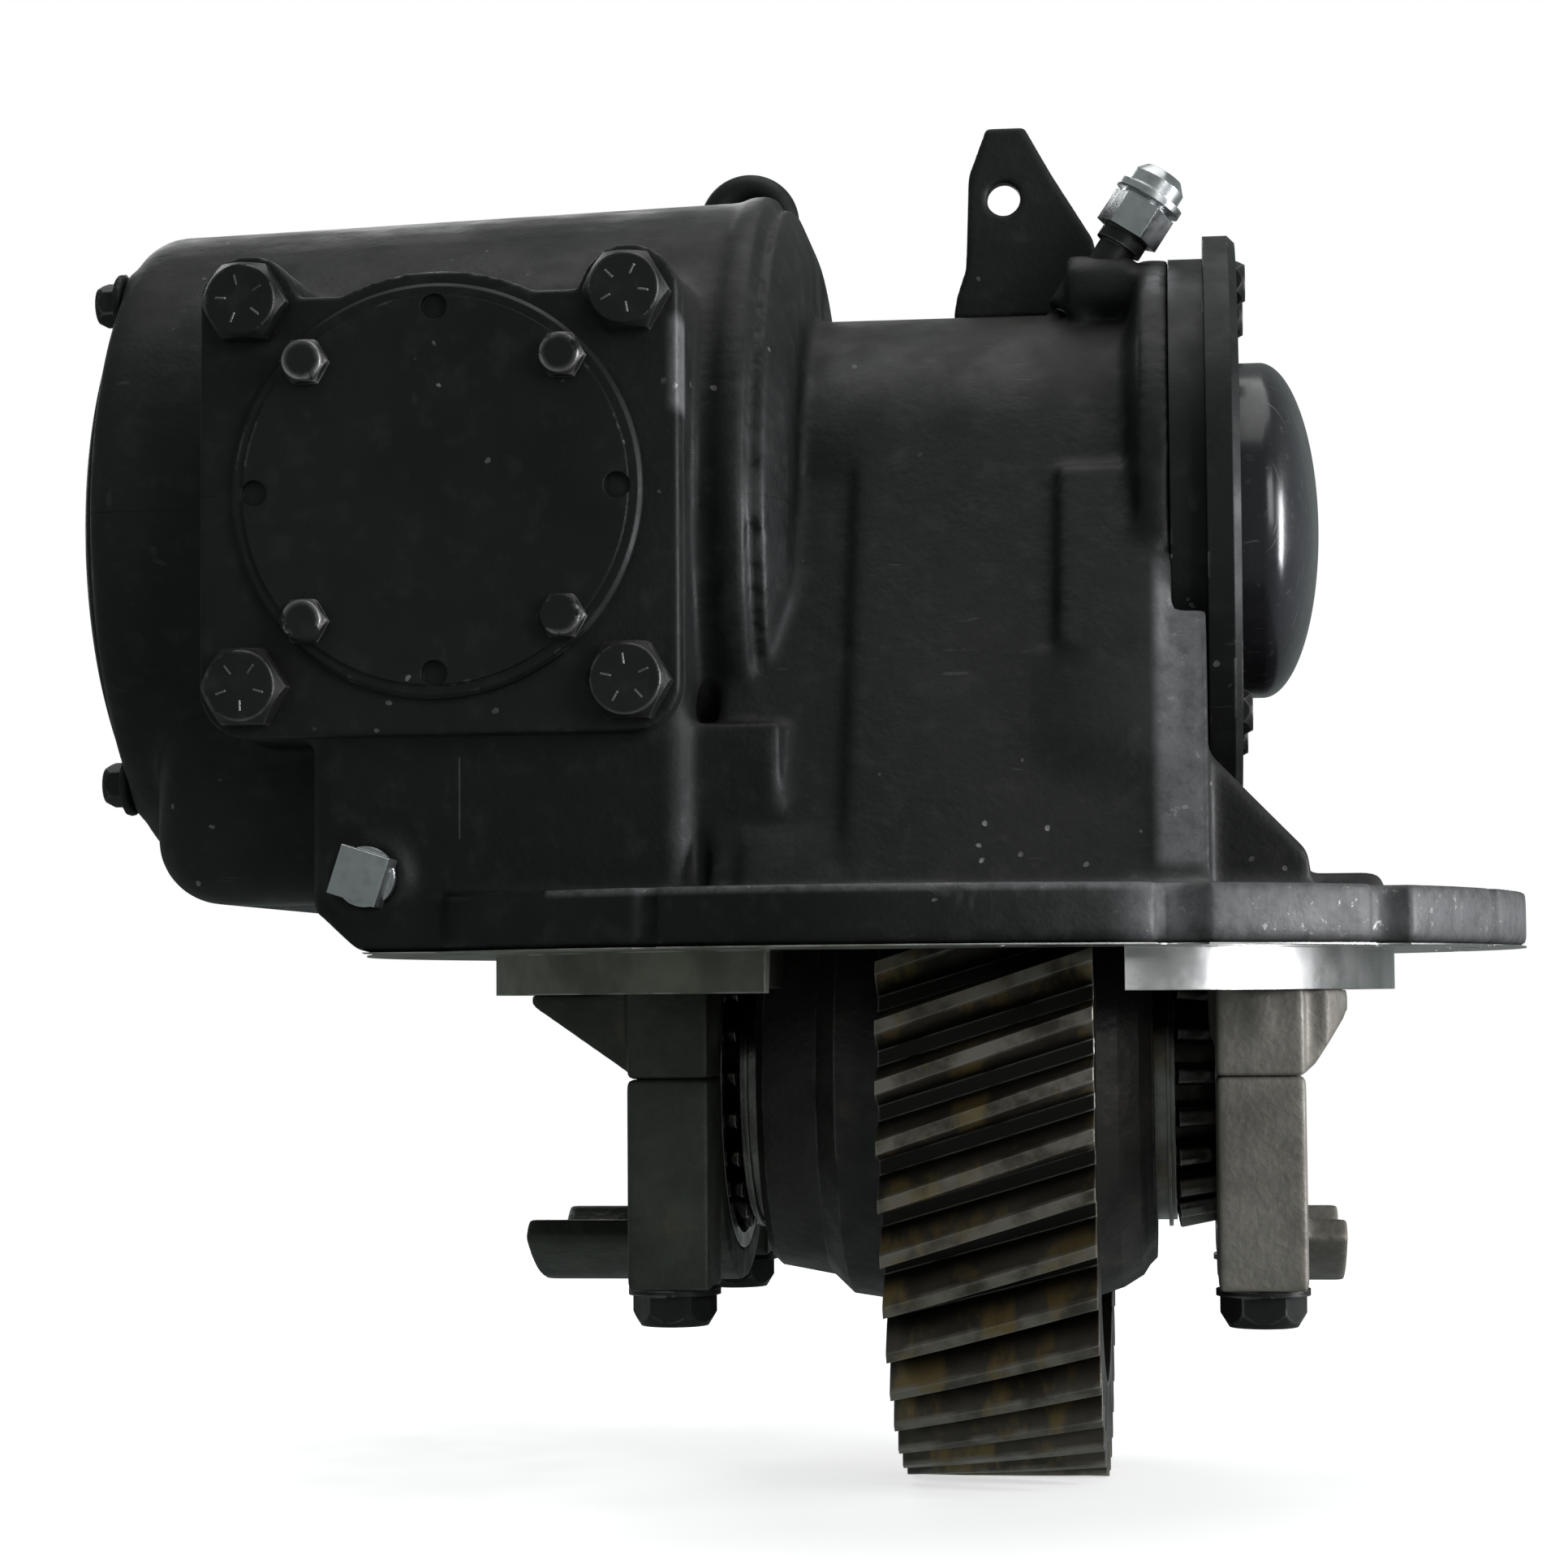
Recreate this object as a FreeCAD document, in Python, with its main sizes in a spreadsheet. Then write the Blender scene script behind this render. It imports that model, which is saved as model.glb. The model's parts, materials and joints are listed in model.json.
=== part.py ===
import FreeCAD
import Part
import math
import os
import re

import Sketcher
from FreeCAD import Placement, Rotation, Vector

# Top-loading double-reduction drive-axle carrier, millimetres.
# Origin: centre of the mounting pilot, on the underside of the flange.
# +X runs along the cross shaft, +Y towards the input flange, +Z up.

SIZES = {
    # mounting flange and pilot
    "flange_r": 237.0, "flange_t": 22.0, "stud_ring_r": 214.0, "stud_hole_r": 8.5,
    "pilot_r": 184.5, "pilot_depth": 16.0, "pilot_inner_r": 160.0, "notch_r": 10.0,
    "flange_pad_x": 143.0, "recess_top_z": 7.0,
    "mouth_left_x": -52.5, "mouth_right_x": 78.4, "mouth_half_y": 190.0,
    # shaft lines
    "shaft_z": 173.3, "diff_z": -48.8, "input_x": -176.4, "diff_x": 13.5,
    # bevel drum and its left cover
    "drum_left_x": -325.0, "drum_right_x": -76.0, "drum_left_r": 134.0, "drum_right_r": 141.0,
    "drum_wall": 13.0, "drum_mouth_r": 107.0, "drum_edge": 9.0,
    "rim_r": 143.0, "rim_groove_r": 135.0, "rim_low_r": 118.0,
    "drum_cover_r": 113.0, "drum_cover_t": 9.0, "drum_lug_sunk": 4.5, "drum_bolt_ring_r": 119.0,
    "drum_lug_r": 13.0,
    "left_hub_r": 62.0, "left_hub_end_x": -288.0,
    # block for the square cover
    "block_face_y": -156.0, "block_root_y": -60.0, "cover_t": 12.0,
    "cover_bolt_half": 73.0, "cover_lobe_r": 19.0, "cover_bulge_r": 84.0, "cover_half": 75.6,
    "window_r": 62.0,
    "disc_r": 78.5, "disc_t": 6.0, "disc_lip_r": 73.5, "disc_bolt_ring_r": 69.2,
    "dimple_r": 5.0, "dimple_depth": 3.5,
    "neck_left_x": -229.0, "neck_right_x": -84.5, "neck_half_y": 154.0, "neck_top_z": 110.0,
    "neck_trim_x": 16.0, "neck_trim_z": 18.0,
    "sump_left_x": -306.0, "sump_half_y": 116.0, "sump_low_z": 21.0, "sump_corner_r": 26.0,
    # helical pinion barrel and its right end
    "barrel_r": 91.0, "bore_r": 78.0, "barrel_flange_x": 80.0, "barrel_end_x": 97.0,
    "barrel_flange_r": 112.0, "cage_t": 14.0, "cage_r": 112.0, "cap_plate_r": 121.0,
    "cap_boss_r": 13.0, "cap_boss_x": 56.0,
    "cap_plate_t": 13.0, "cap_bolt_ring_r": 103.0, "cap_bolt_sunk": 4.0,
    "dome_r": 69.0, "dome_straight": 9.4, "dome_rise": 23.6, "dome_wall": 4.0,
    # gear tunnel
    "tunnel_r": 176.0, "tunnel_bore_r": 168.5, "tunnel_left_x": -64.0, "tunnel_right_x": 92.0,
    "wall_lean": 22.5, "wall_step": 3.0, "wall_step_x": -25.0, "rib_left_x": 90.0, "rib_right_x": 110.0,
    "pad_proud": 5.0, "pad_left_x": 54.0, "pad_low_z": 72.0, "pad_high_z": 188.0,
    # pedestals, caps and differential bearings
    "left_ped_out_x": -115.0, "left_ped_in_x": -83.0, "right_ped_in_x": 111.0,
    "right_ped_out_x": 145.0, "ped_half_y": 112.0, "ped_boss_r": 20.0, "ped_boss_low_z": -34.0,
    "cap_seat_r": 72.0, "cap_outer_r": 85.0,
    "cap_lug_in_y": 74.0, "cap_lug_drop": 81.0, "cap_bolt_y": 93.0, "tongue": 51.0, "tongue_inner_r": 74.0,
    "tongue_arc": 80.0, "saddle_r": 88.0, "diff_cavity_r": 100.0,
    "cup_width": 22.0, "ring_width": 11.0, "ring_inner_r": 52.0,
    "hub_r": 45.0, "roller_small_r": 60.0, "roller_large_r": 66.0, "running": 0.06,
    # differential case and bull gear
    "case_left_x": -69.0, "case_right_x": 87.0, "case_neck_r": 79.0, "case_step_r": 83.0,
    "case_left_r": 90.6, "case_right_r": 88.0, "case_body_r": 100.0, "case_flange_r": 122.0,
    "case_cavity_r": 76.0, "case_cavity_half": 47.0, "case_bolt_ring_r": 111.0,
    "web_right_x": 36.0, "web_flange_t": 14.0, "axle_way_r": 33.0, "journal_r": 36.0,
    "gear_x": 26.25, "gear_width": 80.4, "gear_rim_r": 127.0,
    "gear_teeth": 46, "pinion_teeth": 19, "helical_module": 6.5, "helix_deg": 18.0,
    "flank_gap": 0.2,
    # differential bevel gears and spider
    "side_teeth": 24, "spider_teeth": 12, "side_module": 5.0, "side_face": 22.0,
    "side_bore_r": 27.0, "side_back": 44.0, "side_hub_end": 62.0, "spider_pin_r": 11.0,
    "spider_hub_r": 19.0, "spider_reach": 95.0, "spider_back": 70.5,
    # bevel stage
    "ring_teeth": 29, "bevel_teeth": 17, "bevel_module": 7.0, "bevel_face": 35.0,
    "ring_back": 86.0, "ring_bore_r": 32.0, "bevel_back": 110.0,
    # cross shaft
    "seat_r": 27.0, "shaft_left_x": -323.0, "left_seat_x": -290.0, "collar_r": 40.0,
    "collar_left_x": -223.2, "collar_right_x": -110.0, "shaft_r": 36.0, "right_seat_x": 74.0,
    "shaft_right_x": 110.0, "cup_r": 50.0, "cone_width": 30.0,
    "cone_small_r": 37.0, "cone_large_r": 42.0,
    # input shaft and cage, measured along +Y
    "far_boss_r": 92.0, "far_face_y": 150.0, "cage_bore_r": 72.0, "pinion_way_r": 67.0,
    "cage_start_y": 114.0, "cage_flange_t": 14.0, "cage_nose_r": 68.0, "cage_end_y": 202.0,
    "head_cup_r": 56.0, "head_seat_r": 30.0, "head_width": 26.0,
    "tail_cup_r": 48.0, "tail_seat_r": 25.0, "tail_width": 22.0, "tail_start_y": 164.0,
    "cage_way_r": 40.0, "seal_y": 190.0, "seal_r": 46.0, "sleeve_r": 34.0, "cage_bolt_ring_r": 82.0,
    "sleeve_start_y": 187.0, "yoke_face_y": 246.0, "yoke_t": 13.0, "yoke_r": 78.0, "yoke_pilot_r": 42.0,
    "yoke_bolt_ring_r": 60.0, "yoke_hole_r": 6.0, "nut_start_y": 240.0, "thread_r": 19.0,
    "input_end_y": 262.0,
    # bolts: three-quarter inch and seven-sixteenths inch
    "big_flats": 28.575, "big_head": 12.0, "big_shank_r": 9.525, "washer_t": 2.5, "washer_r": 18.0,
    "small_flats": 15.875, "small_head": 8.0, "small_shank_r": 5.5,
    # fittings
    "plug_x": -206.0, "plug_z": 29.0, "plug_boss_r": 16.0, "plug_face_y": -158.0, "plug_square": 19.0,
    "breather_x": 58.0, "breather_y": -34.0, "breather_z": 257.0, "breather_lean": 33.0,
    "breather_rise": 41.0, "breather_flats": 24.0,
    "eye_x": -86.0, "eye_y": 60.0, "eye_z": 322.0, "eye_ring_r": 16.0, "eye_rod_r": 6.0,
    "bracket_t": 9.0, "bracket_hole_x": 29.0, "bracket_hole_z": 315.0, "bracket_hole_r": 7.0,
}

doc = FreeCAD.newDocument("AxleCarrier")
sheet = doc.addObject("Spreadsheet::Sheet", "Dims")
for row, (alias, value) in enumerate(SIZES.items(), start=1):
    sheet.set(f"A{row}", alias)
    sheet.set(f"B{row}", str(value))
    sheet.setAlias(f"B{row}", alias)
doc.recompute()

subparts = []


def size(alias):
    """Value of one driving dimension, read from the sheet."""
    return float(sheet.get(alias))


def bind(thing, prop, formula):
    """Bind a property to a formula written in the sheet's aliases."""
    text = re.sub(r"[a-z][a-z_]+", lambda word: "Dims." + word.group() if word.group() in SIZES
                  else word.group(), str(formula))
    thing.setExpression(prop, text)


TURN = {
    "Z": Rotation(),
    "-Z": Rotation(Vector(1, 0, 0), 180),
    "X": Rotation(Vector(0, 1, 0), 90),
    "-X": Rotation(Vector(0, 1, 0), -90),
    "Y": Rotation(Vector(1, 0, 0), -90),
    "-Y": Rotation(Vector(1, 0, 0), 90),
}


def place(thing, at, way="Z"):
    """Put a thing's local origin at a point, its local Z along one row axis."""
    turn = TURN[way] if isinstance(way, str) else way
    thing.Placement = Placement(Vector(), turn)
    for letter, formula in zip("xyz", at):
        bind(thing, ".Placement.Base." + letter, formula)
    return thing


def cylinder(name, radius, length, at, way="Z"):
    thing = doc.addObject("Part::Cylinder", name)
    bind(thing, "Radius", radius)
    bind(thing, "Height", length)
    return place(thing, at, way)


def cone(name, radius_start, radius_end, length, at, way="Z"):
    thing = doc.addObject("Part::Cone", name)
    bind(thing, "Radius1", radius_start)
    bind(thing, "Radius2", radius_end)
    bind(thing, "Height", length)
    return place(thing, at, way)


def prism(name, sides, across_flats, length, at, way="Z"):
    thing = doc.addObject("Part::Prism", name)
    thing.Polygon = sides
    bind(thing, "Circumradius", f"({across_flats}) / 2 / cos({180 / sides})")
    bind(thing, "Height", length)
    return place(thing, at, way)


def box(name, x_span, y_span, z_span):
    """Box between three pairs of limits."""
    thing = doc.addObject("Part::Box", name)
    for prop, (low, high) in zip(("Length", "Width", "Height"), (x_span, y_span, z_span)):
        bind(thing, prop, f"({high}) - ({low})")
    return place(thing, (x_span[0], y_span[0], z_span[0]))


def fuse(name, things):
    thing = doc.addObject("Part::MultiFuse", name)
    thing.Shapes = things
    return thing


def cut(name, base, tools):
    thing = doc.addObject("Part::Cut", name)
    thing.Base = base
    thing.Tool = tools[0] if len(tools) == 1 else fuse(name + "_tools", tools)
    return thing


def group(name, things):
    thing = doc.addObject("Part::Compound", name)
    thing.Links = things
    return thing


def common(name, first, second):
    thing = doc.addObject("Part::Common", name)
    thing.Base = first
    thing.Tool = second
    return thing


def round_edges(name, base, radius, picked):
    """Fillet the edges of a simple base whose middle point passes the test."""
    doc.recompute()
    thing = doc.addObject("Part::Fillet", name)
    thing.Base = base
    edges = enumerate(base.Shape.Edges, start=1)
    thing.Edges = [(number, radius, radius) for number, edge in edges if picked(edge)]
    return thing


def sketch_outline(body, outline, plane):
    """Closed polygon sketch: every corner is dimensioned from the origin by two formulas."""
    sketch = body.newObject("Sketcher::SketchObject", body.Name + "_outline")
    support = next(o for o in body.Origin.OriginFeatures if o.Role == plane)
    sketch.AttachmentSupport = (support, "")
    sketch.MapMode = "FlatFace"
    values = [[evaluate(formula) for formula in corner] for corner in outline]
    count = len(outline)
    for index in range(count):
        start, end = values[index], values[(index + 1) % count]
        sketch.addGeometry(Part.LineSegment(Vector(*start, 0), Vector(*end, 0)), False)
    for index in range(count):
        sketch.addConstraint(Sketcher.Constraint("Coincident", index, 2, (index + 1) % count, 1))
    for index, corner in enumerate(outline):
        for kind, formula, value in zip(("DistanceX", "DistanceY"), corner, values[index]):
            if value == 0:
                axis = -2 if kind == "DistanceX" else -1
                sketch.addConstraint(Sketcher.Constraint("PointOnObject", index, 1, axis))
                continue
            number = sketch.addConstraint(Sketcher.Constraint(kind, -1, 1, index, 1, value))
            bind(sketch, f"Constraints[{number}]", formula)
    return sketch


def evaluate(formula):
    """Number that a formula in the sheet's aliases gives."""
    probe = doc.getObject("probe") or doc.addObject("App::FeaturePython", "probe")
    if not hasattr(probe, "number"):
        probe.addProperty("App::PropertyFloat", "number")
    bind(probe, "number", formula)
    probe.recompute()
    return probe.number


def turned(name, outline, at, way="Z"):
    """Body of revolution about local Z; the outline's corners are (radius, height)."""
    body = doc.addObject("PartDesign::Body", name)
    sketch = sketch_outline(body, outline, "XZ_Plane")
    revolution = body.newObject("PartDesign::Revolution", name + "_turn")
    revolution.Profile = sketch
    revolution.ReferenceAxis = (sketch, ["V_Axis"])
    revolution.Angle = 360
    return place(body, at, way)


def extruded(name, outline, thickness, at, plane="XZ_Plane"):
    """Plate padded both ways from its outline's plane."""
    body = doc.addObject("PartDesign::Body", name)
    sketch = sketch_outline(body, outline, plane)
    pad = body.newObject("PartDesign::Pad", name + "_pad")
    pad.Profile = sketch
    pad.Midplane = True
    bind(pad, "Length", thickness)
    return place(body, at)


def around(count, start=0.0):
    return [start + 360.0 * index / count for index in range(count)]


def ring_points(axis, count, radius, centre, start=0.0):
    """Points evenly round a circle about a line along X, Y or Z; angle 0 is +Z, or +X about Z."""
    points = []
    for angle in around(count, start):
        across, up = f"({radius}) * sin({angle})", f"({radius}) * cos({angle})"
        x, y, z = centre
        points.append({
            "X": (x, f"{y} + {across}", f"{z} + {up}"),
            "Y": (f"{x} + {across}", y, f"{z} + {up}"),
            "Z": (f"{x} + {up}", f"{y} + {across}", z),
        }[axis])
    return points


def shifted(point, axis, step):
    moved = list(point)
    moved["XYZ".index(axis)] = f"({point['XYZ'.index(axis)]}) + ({step})"
    return tuple(moved)


def bolt(name, seat, way, kind, shank, washer=False):
    """Hexagon bolt: its head stands on the seat along way, its shank goes back from it."""
    sign, axis = ("-", way[1]) if way[0] == "-" else ("", way)
    back = {"": "-", "-": ""}[sign] + axis
    pieces = []
    base = seat
    if washer:
        pieces.append(cylinder(name + "_washer", "washer_r", "washer_t", seat, way))
        base = shifted(seat, axis, f"{sign}washer_t")
    head = prism(name + "_hex", 6, f"{kind}_flats", f"{kind}_head", base, way)
    crown = cone(name + "_crown", f"{kind}_flats * 0.72", f"{kind}_flats * 0.46",
                 f"{kind}_head", base, way)
    pieces.append(common(name + "_head", head, crown))
    pieces.append(cylinder(name + "_shank", f"{kind}_shank_r", shank, seat, back))
    return fuse(name, pieces)


def keep(thing, label):
    """Name a finished sub-part."""
    thing.Label = label
    subparts.append(thing)
    return thing


# ---------------------------------------------------------------- gear tooth forms

def involute(base_r, radius):
    ratio = radius / base_r
    return math.sqrt(ratio * ratio - 1) - math.acos(1 / ratio)


def half_angles(teeth, pitch_r, pressure, tip_r, root_r, steps):
    """(radius, half tooth angle) pairs up one involute flank; straight and radial below its base."""
    base_r = pitch_r * math.cos(pressure)
    start = max(base_r, root_r)
    middle = math.pi / (2 * teeth) - size("flank_gap") / pitch_r + involute(base_r, pitch_r)
    pairs = []
    for step in range(steps + 1):
        radius = start + (tip_r - start) * step / steps
        pairs.append((radius, middle - involute(base_r, radius)))
    if root_r < base_r:
        pairs.insert(0, (root_r, middle))
    return pairs


def spline(points):
    curve = Part.BSplineCurve()
    curve.interpolate(points)
    return curve.toShape()


def helical_section(teeth, pitch_r, pressure, module, x, turn):
    """One closed outline of a helical gear, across X; angle 0 is +Z and turns towards +Y."""
    tip_r, root_r = pitch_r + module, pitch_r - 1.25 * module
    flank = half_angles(teeth, pitch_r, pressure, tip_r, root_r, 4)
    edges = []

    def point(radius, angle):
        return Vector(x, radius * math.sin(angle), radius * math.cos(angle))

    for tooth in range(teeth):
        middle = turn + 2 * math.pi * tooth / teeth
        gap = middle + math.pi / teeth
        rising = [point(radius, middle - angle) for radius, angle in flank]
        falling = [point(radius, middle + angle) for radius, angle in reversed(flank)]
        foot_r, foot_angle = flank[0]
        last = 2 * gap - middle - foot_angle
        edges.append(spline(rising))
        edges.append(Part.Arc(rising[-1], point(tip_r, middle), falling[0]).toShape())
        edges.append(spline(falling))
        edges.append(Part.Arc(falling[-1], point(foot_r, gap), point(foot_r, last)).toShape())
    return Part.Wire(edges)


def helical_gear(teeth, hand, sections):
    """Solid helical gear about X at the bull gear's place along X, centred on y = z = 0."""
    helix = math.radians(size("helix_deg"))
    module = size("helical_module")
    pitch_r = teeth * module / math.cos(helix) / 2
    pressure = math.atan(math.tan(math.radians(20)) / math.cos(helix))
    outlines = []
    for index in range(sections):
        offset = size("gear_width") * (index / (sections - 1) - 0.5)
        turn = hand * offset * math.tan(helix) / pitch_r
        outlines.append(helical_section(teeth, pitch_r, pressure, module, size("gear_x") + offset, turn))
    return Part.makeLoft(outlines, True, False)


def bevel_gear(teeth, mate, module, face, back, rim_back, hub, bore, pressure_deg=20.0):
    """Straight bevel gear about +Z with its pitch apex at the origin, teeth opening upwards.

    back is the height of the blank's back face, rim_back how far the back cone runs in from the root,
    hub an optional (radius, height) beyond the back face.
    """
    cone_angle = math.atan2(teeth, mate)
    outer = teeth * module / 2 / math.sin(cone_angle)
    inner = outer - face
    along = Vector(math.sin(cone_angle), 0, math.cos(cone_angle))
    outward = Vector(math.cos(cone_angle), 0, -math.sin(cone_angle))
    root_outer = along * outer - outward * (1.25 * module)
    root_inner = root_outer * (inner / outer)
    rim = root_outer - outward * rim_back
    front = root_inner.z
    corners = [Vector(bore, 0, front), root_inner, root_outer, rim, Vector(rim.x, 0, back)]
    if hub:
        corners += [Vector(hub[0], 0, back), Vector(hub[0], 0, hub[1]), Vector(bore, 0, hub[1])]
    else:
        corners += [Vector(bore, 0, back)]
    blank = Part.Face(Part.makePolygon(corners + corners[:1])).revolve(Vector(), Vector(0, 0, 1), 360)
    if blank.Volume < 0:
        blank.reverse()
    virtual_r = outer * math.tan(cone_angle)
    virtual_teeth = teeth / math.cos(cone_angle)
    sunk = virtual_r - 1.25 * module - 0.2 * module
    flank = half_angles(virtual_teeth, virtual_r, math.radians(pressure_deg), virtual_r + module, sunk, 4)
    sections = []
    for length in (outer, inner):
        scale = length / outer
        side = [(radius * math.cos(angle) - virtual_r, radius * math.sin(angle)) for radius, angle in flank]
        points = [along * length + outward * (high * scale) + Vector(0, wide * scale, 0)
                  for high, wide in side]
        mirror = [Vector(p.x, -p.y, p.z) for p in reversed(points)]
        sections.append(Part.makePolygon(points + mirror + points[:1]))
    tooth = Part.makeLoft(sections, True, True)
    wheel = [tooth.rotated(Vector(), Vector(0, 0, 1), angle) for angle in around(teeth)]
    return blank.fuse(wheel)


def feature(name, shape, at=(0, 0, 0), turn=None):
    """Sub-part whose toothed shape is built directly."""
    thing = doc.addObject("Part::Feature", name)
    thing.Shape = shape
    thing.Placement = Placement(Vector(*at), turn or Rotation())
    return thing


# ---------------------------------------------------------------- carrier housing

def on_shaft(x):
    return (x, "0", "shaft_z")


def on_diff(x):
    return (x, "0", "diff_z")


def half_space(name, low_z, high_z):
    return box(name, ("-400", "400"), ("-400", "400"), (low_z, high_z))


def above_flange(name, thing):
    return common(name + "_above", thing, half_space(name + "_upper", "0", "400"))


def flange_solids():
    plate = cylinder("flange_plate", "flange_r", "flange_t", ("0", "0", "0"))
    pilot = cylinder("pilot_disc", "pilot_r", "pilot_depth + 1", ("0", "0", "-pilot_depth"))
    return [plate, pilot]


def flange_notches():
    """Scallops in the flange edge between studs, alike on the near and far sides."""
    notches = []
    for angle, radius in ((65, "notch_r"), (42, "notch_r"), (22.5, "notch_r / 2"), (112.5, "notch_r / 2")):
        for side, sign in (("near", "-"), ("far", "")):
            point = (f"flange_r * cos({angle})", f"{sign}flange_r * sin({angle})", "-1")
            notches.append(cylinder(f"notch_{side}_{int(angle)}", radius, "flange_t + 2", point))
    return notches


def stud_points():
    return ring_points("Z", 16, "stud_ring_r", ("0", "0", "0"), 11.25)


def drum_solids():
    length = "drum_right_x - drum_left_x"
    drum = turned("drum_shell", [
        ("0", "0"), ("drum_left_r - drum_edge", "0"), ("drum_left_r - 0.3 * drum_edge", "0.3 * drum_edge"),
        ("drum_left_r", "drum_edge"), ("drum_right_r", length), ("0", length),
    ], on_shaft("drum_left_x"), "X")
    rims = turned("drum_rims", [
        ("0", "0"), ("drum_right_r", "0"), ("rim_r", "3"), ("rim_r", "12"), ("rim_groove_r", "13"),
        ("rim_groove_r", "17"), ("rim_r - 4", "18"), ("rim_low_r", "27"), ("0", "27"),
    ], on_shaft("drum_right_x"), "X")
    sump = box("drum_sump", ("sump_left_x", "neck_right_x"), ("-sump_half_y", "sump_half_y"),
               ("sump_low_z", "neck_top_z"))
    rounded = round_edges("drum_sump_rounded", sump, size("sump_corner_r"), lambda edge: True)
    lugs = [cylinder(f"drum_lug_{n}", "drum_lug_r", "24", point, "X")
            for n, point in enumerate(drum_bolt_points("drum_left_x"))]
    return [drum, rims, rounded] + lugs


def cover_outline(name, face, back, lobe_depth):
    """Solids whose outline is straight at the sides and below, lobed and bulged above."""
    wide = box(f"{name}_wide", ("input_x - cover_bolt_half - cover_lobe_r",
                                "input_x + cover_bolt_half + cover_lobe_r"),
               (face, back), ("shaft_z - cover_bolt_half", "shaft_z + cover_bolt_half - 4"))
    tall = box(f"{name}_tall", ("input_x - cover_bolt_half", "input_x + cover_bolt_half"),
               (face, back), ("shaft_z - cover_bolt_half - cover_lobe_r", "shaft_z + cover_half"))
    lobes = [cylinder(f"{name}_lobe_{n}", "cover_lobe_r", lobe_depth, point, "Y")
             for n, point in enumerate(cover_bolt_points(face))]
    bulge = cylinder(f"{name}_bulge", "cover_bulge_r", lobe_depth, ("input_x", face, "shaft_z"), "Y")
    return [wide, tall, bulge] + lobes


def block_solids():
    depth = "block_root_y - block_face_y"
    block = cover_outline("block", "block_face_y", "0", depth)
    neck = box("neck", ("neck_left_x", "neck_right_x"), ("-neck_half_y", "far_face_y"),
               ("0", "neck_top_z"))
    neck_rounded = round_edges("neck_rounded", neck, 7,
                               lambda edge: abs(edge.tangentAt(edge.FirstParameter).z) > 0.9)
    corner = extruded("neck_corner", [
        ("neck_left_x - 5", "-5"), ("neck_left_x + neck_trim_x + 5", "-5"),
        ("neck_left_x + neck_trim_x + 5", "0"), ("neck_left_x + neck_trim_x", "3"),
        ("neck_left_x - 5", "neck_trim_z + 4"),
    ], "400", ("0", "0", "0"))
    neck_shaped = cut("neck_shaped", neck_rounded, [corner])
    far_boss = cylinder("far_boss", "far_boss_r", "far_face_y", ("input_x", "0", "shaft_z"), "Y")
    plug_boss = cylinder("plug_boss", "plug_boss_r", "40", ("plug_x", "plug_face_y", "plug_z"), "Y")
    return block + [neck_shaped, far_boss, plug_boss]


def barrel_solids():
    barrel = cylinder("barrel", "barrel_r", "barrel_end_x - drum_right_x", on_shaft("drum_right_x"), "X")
    end = turned("barrel_end", [
        ("0", "0"), ("barrel_r", "0"), ("barrel_flange_r", "5"),
        ("barrel_flange_r", "barrel_end_x - barrel_flange_x"), ("0", "barrel_end_x - barrel_flange_x"),
    ], on_shaft("barrel_flange_x"), "X")
    tunnel = cylinder("tunnel", "tunnel_r", "tunnel_right_x - tunnel_left_x",
                      on_diff("tunnel_left_x"), "X")
    gussets = [extruded(f"end_gusset_{side}", [
        ("barrel_end_x - 7", "flange_t - 4"), ("150", "flange_t - 4"), ("147", "37"), ("114", "71"),
        ("barrel_end_x - 7", "96"),
    ], "22", ("0", y, "0")) for side, y in (("near", "-95"), ("far", "95"))]
    walls = [
        lean_walls("low_walls", "-wall_step", "drum_right_x", "wall_step_x"),
        lean_walls("tunnel_walls", "0", "wall_step_x", "tunnel_right_x"),
        lean_walls("end_walls", "1.5", "rib_left_x", "rib_right_x"),
        common("pad_walls_part", lean_walls("pad_walls", "pad_proud", "pad_left_x", "tunnel_right_x"),
               half_space("pad_band", "pad_low_z", "pad_high_z")),
    ]
    foot = box("flange_pad", ("flange_pad_x", "flange_pad_x + 36"), ("-40", "40"), ("flange_t - 2", "30.5"))
    pad = round_edges("flange_pad_rounded", foot, 5, lambda edge: edge.CenterOfMass.z > 27)
    saddle_length = "right_ped_out_x + 4 - barrel_end_x"
    saddle = above_flange("right_saddle", cylinder(
        "right_saddle_round", "saddle_r", saddle_length, on_diff("barrel_end_x"), "X"))
    boss = lean_over(cylinder("breather_boss", "12", "12", ("breather_x", "breather_y", "breather_z")))
    bosses = [cylinder(f"cap_boss_{n}", "cap_boss_r", "barrel_flange_x - cap_boss_x + 2", point, "X")
              for n, point in enumerate(cap_plate_points("cap_boss_x"))]
    return bosses + [barrel, end, boss, above_flange("tunnel_part", tunnel), saddle, pad] + gussets + walls


def lean_walls(name, extra, low_x, high_x):
    """Flat walls that lean in from the gear tunnel to the barrel, touching both, or proud by extra."""
    corners = []
    for side in ("-", ""):
        for reach, height in (("tunnel_r", "diff_z"), ("barrel_r", "shaft_z")):
            corners.append((f"{side}1 * ({reach} + {extra}) * cos(wall_lean)",
                            f"{height} + ({reach} + {extra}) * sin(wall_lean)"))
    corners = [corners[0], corners[2], corners[3], corners[1]]
    return extruded(name, corners, f"({high_x}) - ({low_x})", (f"(({high_x}) + ({low_x})) / 2", "0", "0"),
                    "YZ_Plane")


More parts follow.
